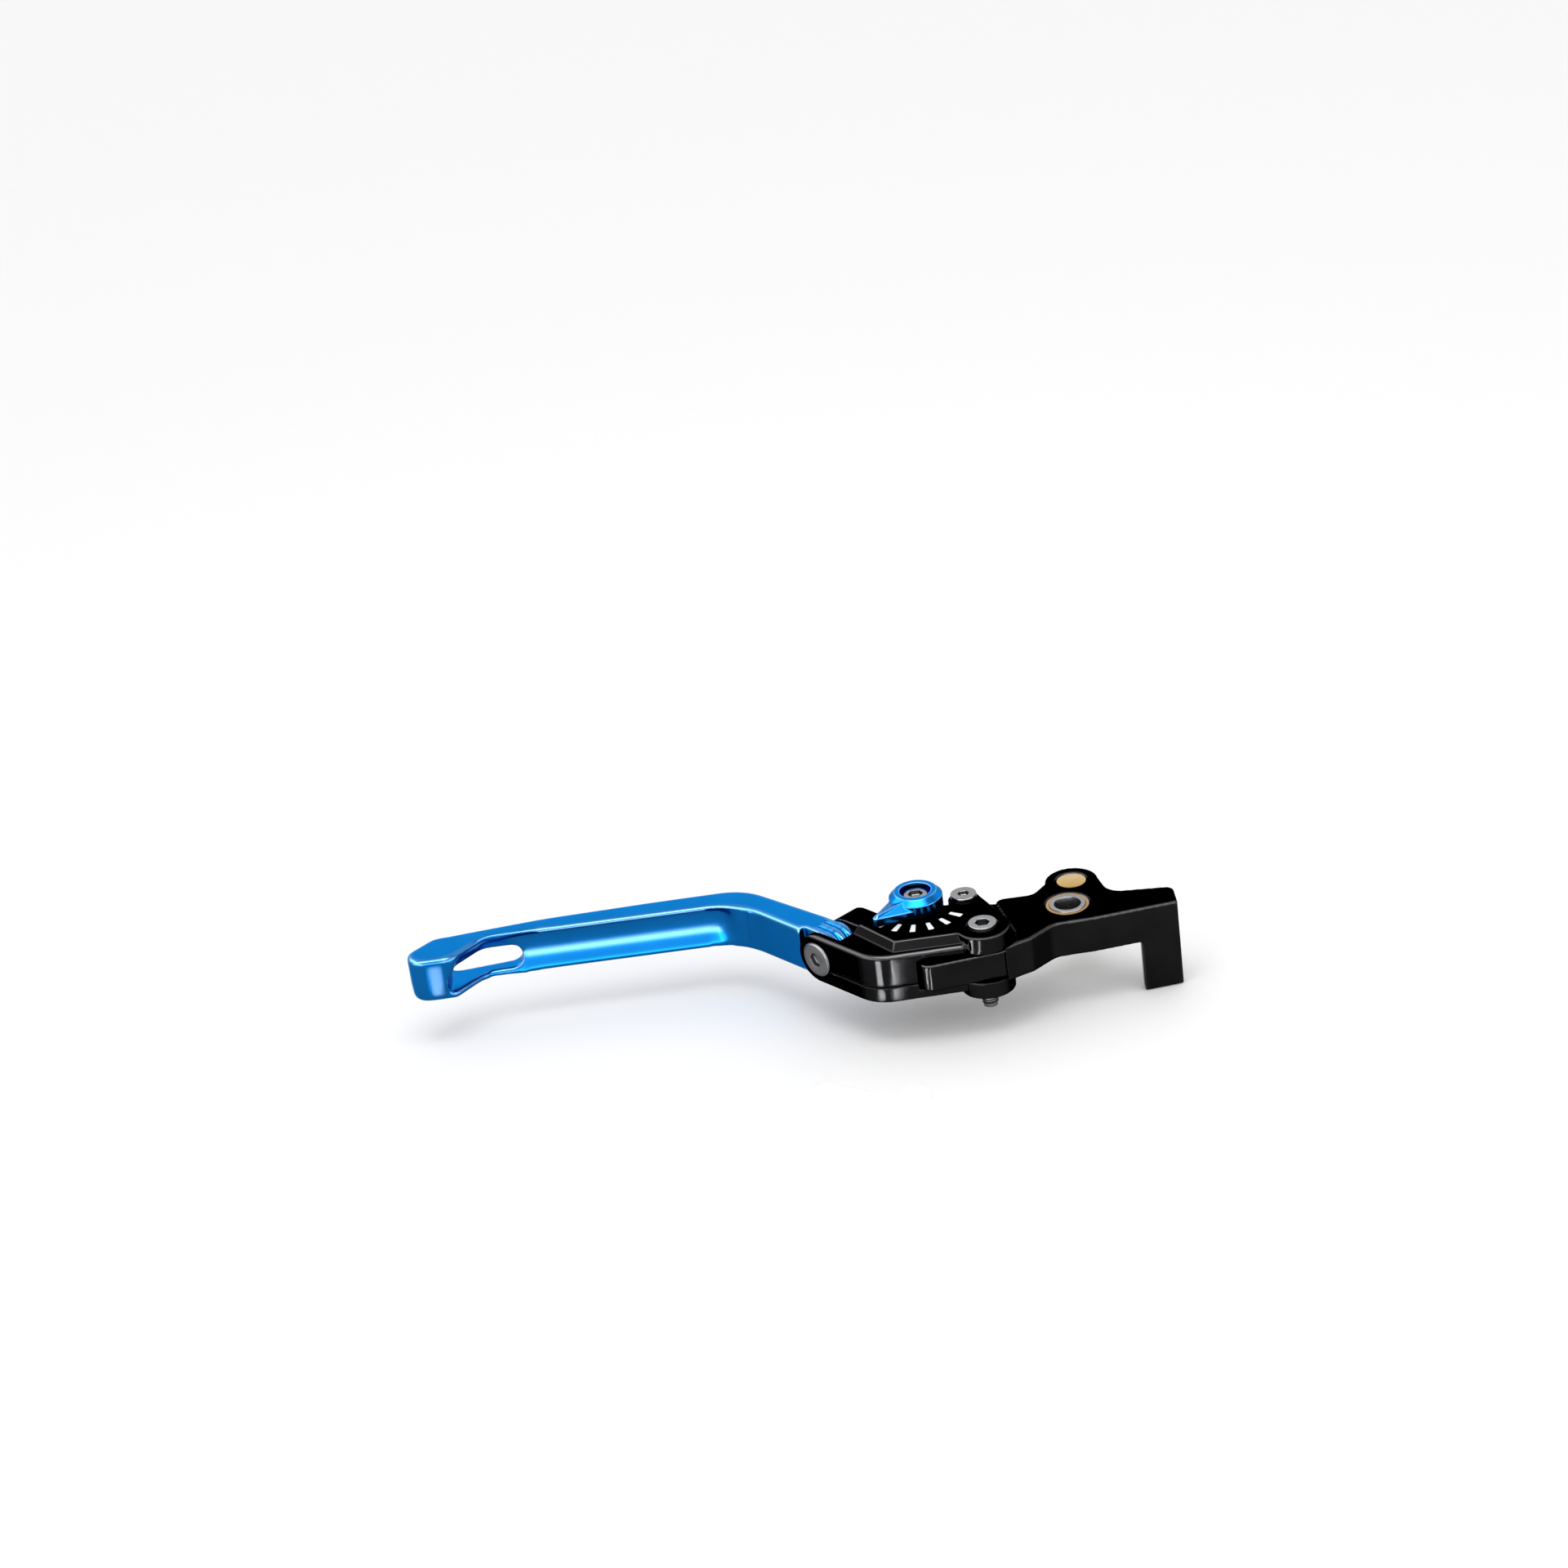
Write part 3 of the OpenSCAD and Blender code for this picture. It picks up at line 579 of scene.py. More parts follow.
@dataclass(frozen=True)
class Zone:
    """A box in which a skin is relaxed further. Its lengths are in millimetres.

    Attributes:
        low: Lowest corner.
        high: Highest corner.
        soft: Width of the fade round it.
        passes: How often the skin is relaxed.
    """

    low: Point
    high: Point
    soft: float
    passes: int

    def relax(self, piece: Object) -> None:
        """Relaxes a piece's skin: fully inside the box, and less and less round it.

        Args:
            piece: The piece to change.
        """
        skin = Skin(piece)
        low, high = np.array(self.low) * MM, np.array(self.high) * MM
        outside = np.maximum(low - skin.points, skin.points - high).max(axis=1)
        weight = np.clip(1 - outside / (self.soft * MM), 0, 1)
        skin.points = skin.relaxed(weight[:, None], self.passes)
        skin.write()


@dataclass(frozen=True)
class WearAndHighlight:
    """How the edges of a skin are lightened, most of all on top, part by wear and part as a painted
    highlight, and where further highlights are painted.

    Attributes:
        full: Height of a fully lightened edge over the skin around it.
        above: Height below which edges stay unlightened.
        bright: Gives from points and normals the painted highlight at each point, or None.
        passes: How wide the compared skin reaches.
        upright: Share of the lightening that an upright face shows; edges facing up show all of it, as a
            painted highlight from above.
    """

    full: float = 0.12 * MM
    above: float = -1.0
    bright: Shine | None = None
    passes: int = 24
    upright: float = 0.4

    def mark(self, piece: Object) -> None:
        """Stores how lightened each point of a piece's skin is, by wear and by painted highlight.

        Args:
            piece: The piece to change.
        """
        skin = Skin(piece)
        normals = skin.read("normal")
        height = ((skin.points - skin.relaxed(1.0, self.passes)) * normals).sum(axis=1)
        # Convex edges lighten, more where they face up: wear, and a painted highlight of light from above.
        worn_and_highlit = np.clip(height * np.clip(self.upright + normals[:, 2], 0, 1) / self.full, 0, 1)
        worn_and_highlit *= skin.points[:, 2] > self.above
        # Adds the painted highlights.
        if self.bright:
            worn_and_highlit = np.maximum(worn_and_highlit, self.bright(skin.points, normals))
        wear_and_highlight = piece.data.attributes.new("wear_and_highlight", "FLOAT", "POINT")
        wear_and_highlight.data.foreach_set("value", worn_and_highlit.astype(np.float32))


# ---- geometry node trees ---------------------------------------------------


class Grown:
    """A geometry node tree that is grown once and used as a modifier with its own values."""

    def __init__(self, name: str, sockets: dict[str, str]) -> None:
        """Starts the tree.

        Args:
            name: Name of the tree.
            sockets: Type of each input after the geometry, by name.
        """
        self.group = bpy.data.node_groups.new(name, "GeometryNodeTree")
        face = self.group.interface
        face.new_socket("Geometry", in_out="INPUT", socket_type="NodeSocketGeometry")
        self.keys = {title: face.new_socket(title, in_out="INPUT", socket_type="NodeSocket" + kind).identifier
                     for title, kind in sockets.items()}
        face.new_socket("Geometry", in_out="OUTPUT", socket_type="NodeSocketGeometry")
        self.t = Tree(self.group)
        self.enter = self.t.add("NodeGroupInput").outputs

    def end(self, out: Socket) -> None:
        """Closes the tree with real geometry in the wanted finish.

        Args:
            out: Output with the geometry.
        """
        real = self.t.add("GeometryNodeRealizeInstances", {0: out})
        dressed = {"Geometry": real.outputs[0], "Material": self.enter["Finish"]}
        finish = self.t.add("GeometryNodeSetMaterial", dressed)
        self.t.add("NodeGroupOutput", {0: finish.outputs[0]})

    def use(self, piece: Object, **values: object) -> None:
        """Runs the tree on a piece and keeps the plain mesh.

        Args:
            piece: The object whose mesh is the tree's geometry.
            values: Value of each named input.
        """
        modifier = piece.modifiers.new(self.group.name, "NODES")
        modifier.node_group = self.group
        for title, value in values.items():
            modifier[self.keys[title]] = value
        apply_modifiers(piece)
        smooth(piece, GROWN_SHARP_FROM)


class Sweep(Grown):
    """Sweeps a round or cornered bar along a path of edges."""

    def __init__(self) -> None:
        """Grows the tree."""
        super().__init__("sweep", {"Thickness": "Float", "Sides": "Int", "Finish": "Material"})
        path = self.t.add("GeometryNodeMeshToCurve", {"Mesh": self.enter["Geometry"]})
        radius = self.t.maths("MULTIPLY", self.enter["Thickness"], 0.5)
        profile = self.t.add("GeometryNodeCurvePrimitiveCircle",
                             {"Radius": radius, "Resolution": self.enter["Sides"]})
        bar = {"Curve": path.outputs[0], "Fill Caps": True, "Profile Curve": profile.outputs[0]}
        swept = self.t.add("GeometryNodeCurveToMesh", bar)
        self.end(swept.outputs[0])


class Fan(Grown):
    """Repeats a shape round an upright axis, in even steps."""

    def __init__(self) -> None:
        """Grows the tree."""
        super().__init__("fan", {"Count": "Int", "Start": "Float", "Step": "Float", "Centre": "Vector",
                                 "Finish": "Material"})
        middles = {"Count": self.enter["Count"], "Position": self.enter["Centre"]}
        points = self.t.add("GeometryNodePoints", middles)
        index = self.t.add("GeometryNodeInputIndex").outputs[0]
        angle = self.t.maths("MULTIPLY_ADD", index, self.enter["Step"], self.enter["Start"])
        turn = self.t.add("ShaderNodeCombineXYZ", {"Z": angle})
        turned = {"Points": points.outputs[0], "Instance": self.enter["Geometry"],
                  "Rotation": turn.outputs[0]}
        copies = self.t.add("GeometryNodeInstanceOnPoints", turned)
        self.end(copies.outputs[0])


@dataclass(frozen=True)
class Coil:
    """A coil of wire, or the ridge of a thread.

    Attributes:
        radius: Radius of its middle line.
        pitch: Rise in one turn.
        turns: Number of turns.
        wire: Thickness of the wire.
        sides: Number of sides of the wire's section.
        per_turn: Points of the middle line in one turn.
        start: Angle of its start, in degrees.
        leg_down: Length of a straight leg below its start.
        leg_up: Length of another above its end.
    """

    radius: float
    pitch: float
    turns: float
    wire: float
    sides: int = 14
    per_turn: int = 48
    start: float = 0.0
    leg_down: float = 0.0
    leg_up: float = 0.0

    def path(self, name: str, place: Matrix) -> Object:
        """Makes an object of edges along the middle line.

        Args:
            name: Name of the object.
            place: Where its foot is, and how it is turned.

        Returns:
            The object.
        """
        points = []
        for i in range(round(self.turns * self.per_turn) + 1):
            angle = math.radians(self.start + 360 * i / self.per_turn)
            points.append(Vector((self.radius * math.cos(angle), self.radius * math.sin(angle),
                                  self.pitch * i / self.per_turn)))
        if self.leg_down:
            points.insert(0, points[0] - Vector((0, 0, self.leg_down)))
        if self.leg_up:
            points.append(points[-1] + Vector((0, 0, self.leg_up)))
        edges = [(i, i + 1) for i in range(len(points) - 1)]
        return mesh_piece(name, [place @ p for p in points], edges, [])


class Shop:
    """Holds the solids, the finishes and the node trees, and puts pieces on the bodies."""

    def __init__(self, frame: dict) -> None:
        """Builds the materials and notes the body and slot of each solid.
        """
        record = frame["record"]
        self.nodes = frame["nodes"]
        self.finishes = {finish.slot: finish.material() for finish in FINISHES}
        self.slot_of = {s["node"]: Slot(s["material_slot"]) for s in record["subparts"]}
        self.body_of = {n: b for b, ns in record["behaviour"]["bodies"].items() for n in ns}
        self.sweep, self.fan = Sweep(), Fan()

    def dress(self, node: str) -> None:
        """Gives a solid its finish.

        Args:
            node: Name of the solid.
        """
        solid = self.nodes[node]
        solid.data.materials.clear()
        solid.data.materials.append(self.finishes[self.slot_of[node]])
        LOG.info("solid %s dressed in %s", node, self.slot_of[node].value)

    def place(self, piece: Object, node: str) -> None:
        """Lets a piece stand for a solid, on the solid's body and in its finish.

        Args:
            piece: The finished piece.
            node: Name of the solid that it stands for.
        """
        chosen = self.slot_of[node]
        piece.data.materials.clear()
        piece.data.materials.append(self.finishes[chosen])
        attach(piece, self.body_of[node])
        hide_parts(node)
        LOG.info("piece %s stands for %s", piece.name, node)

    def machined(self, node: str, width: float) -> None:
        """Makes a solid's edges soft, as a tumbled machined part has them.

        Args:
            node: Name of the solid.
            width: Width of the rounding.
        """
        piece = welded_copy(self.nodes[node], node + "_machined")
        clear_flats(piece)
        bevel = soften(piece, width, steps=2)
        bevel.use_clamp_overlap = False
        bevel.miter_outer = "MITER_ARC"
        apply_modifiers(piece)
        smooth(piece)
        self.place(piece, node)

    def tumbled(self, node: str, grid: float, passes: int, cutters: Sequence[Object] = (),
                shaped: Mover | None = None, zones: Sequence[Zone] = (), wear_and_highlight: WearAndHighlight = WearAndHighlight()) -> None:
        """Recasts a solid as one soft-edged skin.

        Args:
            node: Name of the solid.
            grid: Spacing of the skin's points.
            passes: How often the skin is relaxed.
            cutters: Solids cut out of it first.
            shaped: Moves the skin's points.
            zones: Places to relax further after that.
            wear_and_highlight: How its edges are worn, and where highlights are painted.
        """
        piece = welded_copy(self.nodes[node], node + "_tumbled")
        for cutter in cutters:
            cut_away(piece, cutter)
        recast(piece, grid, passes)
        if shaped:
            skin = Skin(piece)
            shaped(skin.points)
            skin.write()
        for zone in zones:
            zone.relax(piece)
        wear_and_highlight.mark(piece)
        self.place(piece, node)

    def wound(self, name: str, node: str, coil: Coil, place: Matrix) -> None:
        """Winds a coil in place of a solid.

        Args:
            name: Name of the piece.
            node: Name of the solid.
            coil: The coil.
            place: Where its foot is, and how it is turned.
        """
        piece = coil.path(name, place)
        finish = self.finishes[self.slot_of[node]]
        self.sweep.use(piece, Thickness=coil.wire, Sides=coil.sides, Finish=finish)
        self.place(piece, node)


# ---- stage -----------------------------------------------------------------


@dataclass(frozen=True)
class View:
    """The camera: it looks along +Y from the front and above, and leans a little.

    Attributes:
        height: Height of the view above the horizon, in degrees.
        lean: Roll of the camera, in degrees.
        depth: Distance of the origin along the view.
        across: Place of the origin to the right of the view's middle, as a share of depth.
        below: Place of the origin below that middle, likewise.
        lens: Focal length, in millimetres.
        sensor: Width of the sensor, in millimetres.
    """

    height: float = 26.3
    lean: float = 7.6
    depth: float = 1.1025
    across: float = 0.0775556
    below: float = 0.0371111
    lens: float = 84.375
    sensor: float = 36.0

    def build(self) -> None:
        """Creates the camera and makes it the scene's camera."""
        up = Vector((0, sine(self.height), sine(90 - self.height)))
        ahead = Vector((0, up.z, -up.y))
        right = Vector((1, 0, 0))
        c, s = sine(90 - self.lean), sine(self.lean)
        right, up = right * c - up * s, right * s + up * c
        place = -self.depth * (ahead + right * self.across - up * self.below)
        data = bpy.data.cameras.new("view")
        data.lens = self.lens
        data.sensor_width = self.sensor
        data.clip_end = 50.0
        camera = bpy.data.objects.new("view", data)
        bpy.context.scene.collection.objects.link(camera)
        camera.matrix_world = Matrix.Translation(place) @ Matrix((right, up, -ahead)).transposed().to_4x4()
        bpy.context.scene.camera = camera


@dataclass(frozen=True)
class Lamp:
    """A soft rectangular lamp.

    Attributes:
        name: Name of the lamp.
        place: Where it stands.
        size: Width and height.
        power: Power, in watts.
        aim: Point that it faces.
        spread: Angle of its beam, in degrees.
        turn: Turn about its beam, in degrees.
    """

    name: str
    place: Point
    size: Plan
    power: float
    aim: Point = (-0.08, 0.0, 0.0)
    spread: float = 180.0
    turn: float = 0.0

    @classmethod
    def pool(cls, name: str, at: Plan, size: Plan, power: float, turn: float) -> Lamp:
        """Gives a narrow beam from above that makes a bright pool on the floor.

        Args:
            name: Name of the lamp.
            at: Middle of the pool in plan.
            size: Width and length of the pool.
            power: Power, in watts.
            turn: Turn of the pool, in degrees.

        Returns:
            The lamp.
        """
        return cls(name, (*at, 0.3), size, power, (*at, 0.0), 1.0, turn)

    def build(self) -> None:
        """Creates the lamp."""
        data = bpy.data.lights.new(self.name, "AREA")
        data.shape = "RECTANGLE"
        data.size, data.size_y = self.size
        data.energy = self.power
        data.spread = math.radians(self.spread)
        lamp = bpy.data.objects.new(self.name, data)
        bpy.context.scene.collection.objects.link(lamp)
        lamp.location = self.place
        facing = (Vector(self.aim) - Vector(self.place)).to_track_quat("-Z", "Y")
        turned = Matrix.Rotation(math.radians(self.turn), 3, "Z") @ facing.to_matrix()
        lamp.rotation_euler = turned.to_euler()


class Side(Enum):
    """Sides of the surround, as directions in plan."""

    FRONT = (0.0, -1.0)
    BACK = (0.0, 1.0)
    LEFT = (-1.0, 0.0)


@dataclass(frozen=True)
class Band:
    """A brighter band of the surround.

    Attributes:
        low: Height where it starts, in degrees.
        high: Height where it ends; at 90 it covers the top.
        soft: Width of its soft edges, in degrees.
        gain: How much brighter it is than the surround.
        side: Side that it lies on, or None for all round.
        narrow: How closely it keeps to that side, from 0 for half of the surround to 1.
        fade: Width of its soft ends, on the scale of narrow.
    """

    low: float
    high: float
    soft: float
    gain: float
    side: Side | None = None
    narrow: float = 0.0
    fade: float = 0.35

    def grow(self, t: Tree, way: Socket) -> Socket:
        """Adds the band's nodes.

        Args:
            t: The world's tree.
            way: Output with the direction.

        Returns:
            Output that is 1 inside the band and 0 outside.
        """
        height = t.add("ShaderNodeSeparateXYZ", {0: way}).outputs[2]
        share = t.ramp(height, sine(self.low - self.soft), sine(self.low), eased=True)
        if self.high < 90:
            below = t.ramp(height, sine(self.high), sine(self.high + self.soft), 1.0, 0.0, eased=True)
            share = t.maths("MULTIPLY", share, below)
        if self.side:
            pair = {0: way, 1: (*self.side.value, 0)}
            lean = t.add("ShaderNodeVectorMath", pair, operation="DOT_PRODUCT").outputs["Value"]
            near = t.ramp(lean, self.narrow, self.narrow + self.fade, eased=True)
            share = t.maths("MULTIPLY", share, near)
        return share


class Studio:
    """Pale floor, soft lamps and a pale surround with brighter bands."""

    white: tuple[float, float, float, float] = (1, 1, 1, 1)
    floor_colour: tuple[float, float, float, float] = (0.86, 0.86, 0.86, 1)
    floor_reach: float = 6.0
    bands: tuple[Band, ...] = (
        Band(6, 9, 9, 7.2, Side.FRONT),
        Band(22, 40, 10, 0.9, Side.FRONT),
        Band(58, 71, 5, 10.0, Side.FRONT),
        Band(28, 56, 8, 4.5, Side.LEFT, 0.35),
        Band(78, 90, 6, 0.8),
        Band(8, 50, 8, 0.9, Side.BACK),
    )
    lamps: tuple[Lamp, ...] = (
        Lamp("overhead", (-0.1, -0.1, 0.8), (0.7, 0.35), 1.6),
        Lamp("front_left", (-0.6, -0.8, 0.25), (0.1, 0.5), 0.6),
        Lamp("right_fill", (0.7, -0.5, 0.45), (0.4, 0.4), 0.4),
        Lamp.pool("tip_pool", (-0.1967, -0.027), (0.003, 0.032), 0.36, -6),
        Lamp.pool("corner_pool", (-0.0845, -0.0588), (0.012, 0.036), 0.1, -34),
        Lamp.pool("front_pool", (-0.053, -0.066), (0.003, 0.034), 0.04, 3.5),
    )

    def build(self, low: float) -> None:
        """Creates the floor, the lamps and the world.

        Args:
            low: Height of the floor.
        """
        for lamp in self.lamps:
            lamp.build()
        self.floor(low)
        self.world()

    def floor(self, low: float) -> None:
        """Lays the floor just under the lever.

        Args:
            low: Height of the floor.
        """
        reach = self.floor_reach
        corners = ((-reach, -reach, low), (reach, -reach, low), (reach, reach, low), (-reach, reach, low))
        floor = mesh_piece("floor", corners, [], [(0, 1, 2, 3)])
        mat = bpy.data.materials.new("pale_floor")
        mat.use_nodes = True
        shader = mat.node_tree.nodes["Principled BSDF"]
        shader.inputs["Base Color"].default_value = self.floor_colour
        shader.inputs["Roughness"].default_value = 0.7
        shader.inputs["Specular IOR Level"].default_value = 0.2
        floor.data.materials.append(mat)
        floor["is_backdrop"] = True

    def world(self) -> None:
        """Makes the surround: bright bands to the eye and in reflections, even as a light."""
        world = bpy.data.worlds.new("surround")
        bpy.context.scene.world = world
        world.use_nodes = True
        world.node_tree.nodes.clear()
        t = Tree(world.node_tree)
        way = t.add("ShaderNodeTexCoord").outputs["Generated"]
        level: object = 1.0
        for band in self.bands:
            level = t.maths("MULTIPLY_ADD", band.grow(t, way), band.gain, level)
        ray = t.add("ShaderNodeLightPath").outputs
        through = t.maths("MAXIMUM", ray["Is Camera Ray"], ray["Is Transmission Ray"])
        either = t.maths("MAXIMUM", through, ray["Is Glossy Ray"])
        light = t.add("ShaderNodeBackground", {0: self.white})
        seen = t.add("ShaderNodeBackground", {0: self.white, 1: level})
        mix = t.add("ShaderNodeMixShader", {0: either, 1: light.outputs[0], 2: seen.outputs[0]})
        t.add("ShaderNodeOutputWorld", {0: mix.outputs[0]})


# ---- sub-assemblies --------------------------------------------------------


@dataclass(frozen=True)
class Scoop:
    """The hollow along the blade's front: steep under its lip, running out at the blade's foot.

    Attributes:
        deep: Depth at its deepest line.
        middle: Height of the deepest line.
        lip: Height where it ends under the lip.
        foot: Height where it ends at the blade's foot.
        radius: Radius of the bend below the deepest line.
        lean: Slope below that bend, in degrees.
        front: Place along Y of the blade's flat front.
        bend_at: Place along X where the front starts to turn towards the neck.
        bend_radius: Radius of that turn.
        bend_reach: Length along X over which the turn is followed.
        left: Left end, and the length over which the hollow deepens there.
        right: Right end, and the same length there.
        filled: Stretch along X where the solid's own end is filled up.
        near: How far in front of and behind the flat front the skin is moved.
    """

    deep: float = 3.03 * MM
    middle: float = 3.8 * MM
    lip: float = 6 * MM
    foot: float = -7.2 * MM
    radius: float = 18 * MM
    lean: float = 23.0
    front: float = 25.4 * MM
    bend_at: float = -109 * MM
    bend_radius: float = 22 * MM
    bend_reach: float = 16 * MM
    left: Plan = (-176 * MM, 12 * MM)
    right: Plan = (-98 * MM, 7 * MM)
    filled: Plan = (-107 * MM, -95.5 * MM)
    near: Plan = (-1 * MM, 5 * MM)

    def front_at(self, x: np.ndarray) -> np.ndarray:
        """Gives the place along Y of the blade's unhollowed front."""
        past = np.clip(x - self.bend_at, 0, self.bend_reach)
        return self.front - self.bend_radius + np.sqrt(self.bend_radius ** 2 - past ** 2)

    def depth_at(self, z: np.ndarray) -> np.ndarray:
        """Gives the full section's depth at each height."""
        steepest = sine(self.lean)
        straight_from = self.middle - self.radius * steepest
        down = np.clip((self.middle - z) / self.radius, 0, steepest)
        straight = math.tan(math.radians(self.lean)) * np.clip(straight_from - z, 0, None)
        lower = self.deep - self.radius * (1 - np.sqrt(1 - down ** 2)) - straight
        up = (z - self.middle) / (self.lip - self.middle)
        upper = self.deep * np.sqrt(np.clip(1 - up ** 2, 0, 1))
        return np.clip(np.where(z > self.middle, upper, lower), 0, None)

    def share_at(self, x: np.ndarray) -> np.ndarray:
        """Gives the share of the full depth at each place along the blade."""
        from_left = np.clip((x - self.left[0]) / self.left[1], 0, 1)
        from_right = np.clip((self.right[0] - x) / self.right[1], 0, 1)
        return smoothstep(from_left) * smoothstep(from_right)

    def carve(self, points: np.ndarray) -> None:
        """Moves the front of a skin to the hollow.

        Args:
            points: Places of the skin's points, changed in place.
        """
        x, y, z = points.T
        front = self.front_at(x)
        inward = front + self.depth_at(z) * self.share_at(x)
        skin = (y > front + self.near[0]) & (y < front + self.near[1]) & (z > self.foot) & (z < self.lip)
        along = (x > self.left[0]) & (x < self.filled[1])
        moved = skin & along & ((y < inward) | (x > self.filled[0]))
        points[moved, 1] = inward[moved]


class Blade:
    """The finger blade, cast and polished, in blue."""

    grid: float = 0.36 * MM
    passes: int = 14
    zones: dict[str, Zone] = {
        "scoop": Zone((-164, 25.7, -6), (-108, 30, 4), 1.5, 30),
        "scoop_end": Zone((-107, 22, -6.5), (-96, 30, 5), 1.5, 60),
        "slot_foot": Zone((-182, 18, -7.4), (-170, 27.5, -5), 5, 30),
        "slot_lip": Zone((-186, 14, 4), (-162, 27, 7.4), 2.5, 30),
        "tip_foot": Zone((-200, 12, -7.5), (-189, 24, -4), 2.5, 60),
    }

    def build(self, shop: Shop) -> None:
        """Recasts the blade as one soft skin.

        Args:
            shop: The workshop.
        """
        # The skin's mark lightens worn edges and paints highlights on the scoop and the tip's front.
        shop.tumbled("blade", self.grid, self.passes, shaped=Scoop().carve,
                     zones=tuple(self.zones.values()), wear_and_highlight=WearAndHighlight(full=0.2 * MM, bright=self.painted_scoop_and_tip_highlight))

    def painted_scoop_and_tip_highlight(self, points: np.ndarray, normals: np.ndarray) -> np.ndarray:
        """Gives the highlight painted along the scoop's middle and down the tip's front.

        Args:
            points: Places of the skin's points.
            normals: Their normals.

        Returns:
            From 0 to about 1 for each point.
        """
        # Painted highlights: a band along the scoop's middle and a stripe down the tip's front.
        left, right, end_fade, inside = -169, -100, 5, 25.6
        line, line_width, line_share = -1.5, 1.7, 0.85
        tip, tip_width, tip_share, tip_back, tip_half, tip_fade = -191.7, 2.2, 0.9, 16, 6.2, 2
        x, y, z = points.T / MM
        along = np.clip((x - left) / end_fade, 0, 1) * np.clip((right - x) / end_fade, 0, 1)
        middle = line_share * np.exp(-((z - line) / line_width) ** 2) * along * (y > inside)
        high = np.clip((tip_half - np.abs(z)) / tip_fade, 0, 1)
        front = tip_share * np.exp(-((x - tip) / tip_width) ** 4) * high * (y < tip_back)
        return np.clip(-normals[:, 1] * 2 - 1, 0, 1) * (middle + front)


class LeverBody:
    """The lever body with its marks, springs and hinge."""

    dial_at: Plan = (-44.8 * MM, 2.3 * MM)
    positions: int = 6
    first_mark: float = -142.0
    mark_step: float = 21.0
    hinge_at: Plan = (-76.4 * MM, -3.1 * MM)
    hinge_yaw: float = 50.0
    hinge_face: float = 24.2 * MM
    spring_at: float = 12.75 * MM
    lug_at: Plan = (-33.5 * MM, -20.9 * MM)
    corner_radius: float = 12 * MM
    corner_steps: int = 24
    top: float = 7.7 * MM
    proud: float = 1.2 * MM

    def build(self, shop: Shop) -> None:
        """Builds the body and what rides with it.

        Args:
            shop: The workshop.
        """
        # The skin's mark lightens worn edges and paints a highlight along the front chamfer.
        shop.tumbled("lever_body", 0.27 * MM, 2, cutters=(self.front_chamfer(), self.front_groove()),
                     wear_and_highlight=WearAndHighlight(above=3 * MM, bright=self.painted_chamfer_highlight))
        rounding = {"stop_screw": 0.35, "hinge_bolt": 0.2, "hinge_nut": 0.4, "stop_sleeve": 0.15}
        for node, width in rounding.items():
            shop.machined(node, width * MM)
        self.marks(shop)
        place = self.hinge() @ Matrix.Translation((0, 0, self.spring_at))
        shop.wound("fold_spring_wire", "fold_spring", Coil(5 * MM, 1.2 * MM, 1.9, 1.1 * MM), place)
        self.detent_spring(shop)

    def front_line(self, inset: float) -> list[Vector]:
        """Gives the line of the front edge in plan, from before the hinge to past the lug.

        Args:
            inset: How far inside the edge it runs.

        Returns:
            Its points.
        """
        along = Vector((sine(90 - self.hinge_yaw), -sine(self.hinge_yaw)))
        start, end = Vector(self.hinge_at), Vector(self.lug_at)
        corner = start + along * self.hinge_face
        onward = (end - corner).normalized()
        half = along.angle(onward) / 2
        centre = corner + (onward - along).normalized() * self.corner_radius / math.cos(half)
        first = math.atan2(along.y, along.x) - math.pi / 2
        points = [start - along * 4 * MM]
        for i in range(self.corner_steps + 1):
            angle = first + 2 * half * i / self.corner_steps
            points.append(centre + Vector((math.cos(angle), math.sin(angle))) * self.corner_radius)
        points.append(end + onward * 2 * MM)
        inside = []
        for i, p in enumerate(points):
            ahead = (points[min(i + 1, len(points) - 1)] - points[max(i - 1, 0)]).normalized()
            inside.append(p + Vector((-ahead.y, ahead.x)) * inset)
        return inside

    def strip(self, name: str, section: Sequence[Plan]) -> Object:
        """Sweeps a section along the body's front edge.

        Args:
            name: Name of the solid.
            section: Corners of the section: distance inside the edge and height.

        Returns:
            The swept solid.
        """
        lines = [[(p.x, p.y, height) for p in self.front_line(inset)] for inset, height in section]
        n, m = len(section), len(lines[0])
        faces = [tuple(range(n)), tuple((m - 1) * n + k for k in reversed(range(n)))]
        faces += [(i * n + k, (i + 1) * n + k, (i + 1) * n + (k + 1) % n, i * n + (k + 1) % n)
                  for i in range(m - 1) for k in range(n)]
        solid = mesh_piece(name, [lines[k][i] for i in range(m) for k in range(n)], [], faces)
        with edited(solid.data) as bm:
            bmesh.ops.recalc_face_normals(bm, faces=bm.faces)
        return solid

    def front_chamfer(self) -> Object:
        """Makes what the chamfer takes off the front edge."""
        top, width, out = self.top, 0.8 * MM, self.proud
        section = ((-out, top - width - out), (width + out, top + out), (-out, top + out))
        return self.strip("front_chamfer", section)

    def front_groove(self) -> Object:
        """Makes what the groove takes off the front face."""
        middle, half, deep, out = -2.6 * MM, 0.36 * MM, 0.9 * MM, self.proud
        low, high = middle - half, middle + half
        return self.strip("front_groove", ((-out, low), (deep, low), (deep, high), (-out, high)))

    def painted_chamfer_highlight(self, points: np.ndarray, normals: np.ndarray) -> np.ndarray:
        """Gives 1 to the skin's points on the front chamfer, where a highlight is painted, and 0 to the
        others.

        Args:
            points: Places of the skin's points.
            normals: Their normals.

        Returns:
            One number for each point.
        """
        # The painted highlight covers the front chamfer's faces that face up and forward.
        low, high, end = 6.95 * MM, 7.68 * MM, -34 * MM
        least_up, most_up, least_forward = 0.4, 0.92, 0.2
        placed = (points[:, 2] > low) & (points[:, 2] < high) & (points[:, 0] < end)
        facing = (normals[:, 2] > least_up) & (normals[:, 2] < most_up) & (normals[:, 1] < -least_forward)
        return (placed & facing).astype(float)

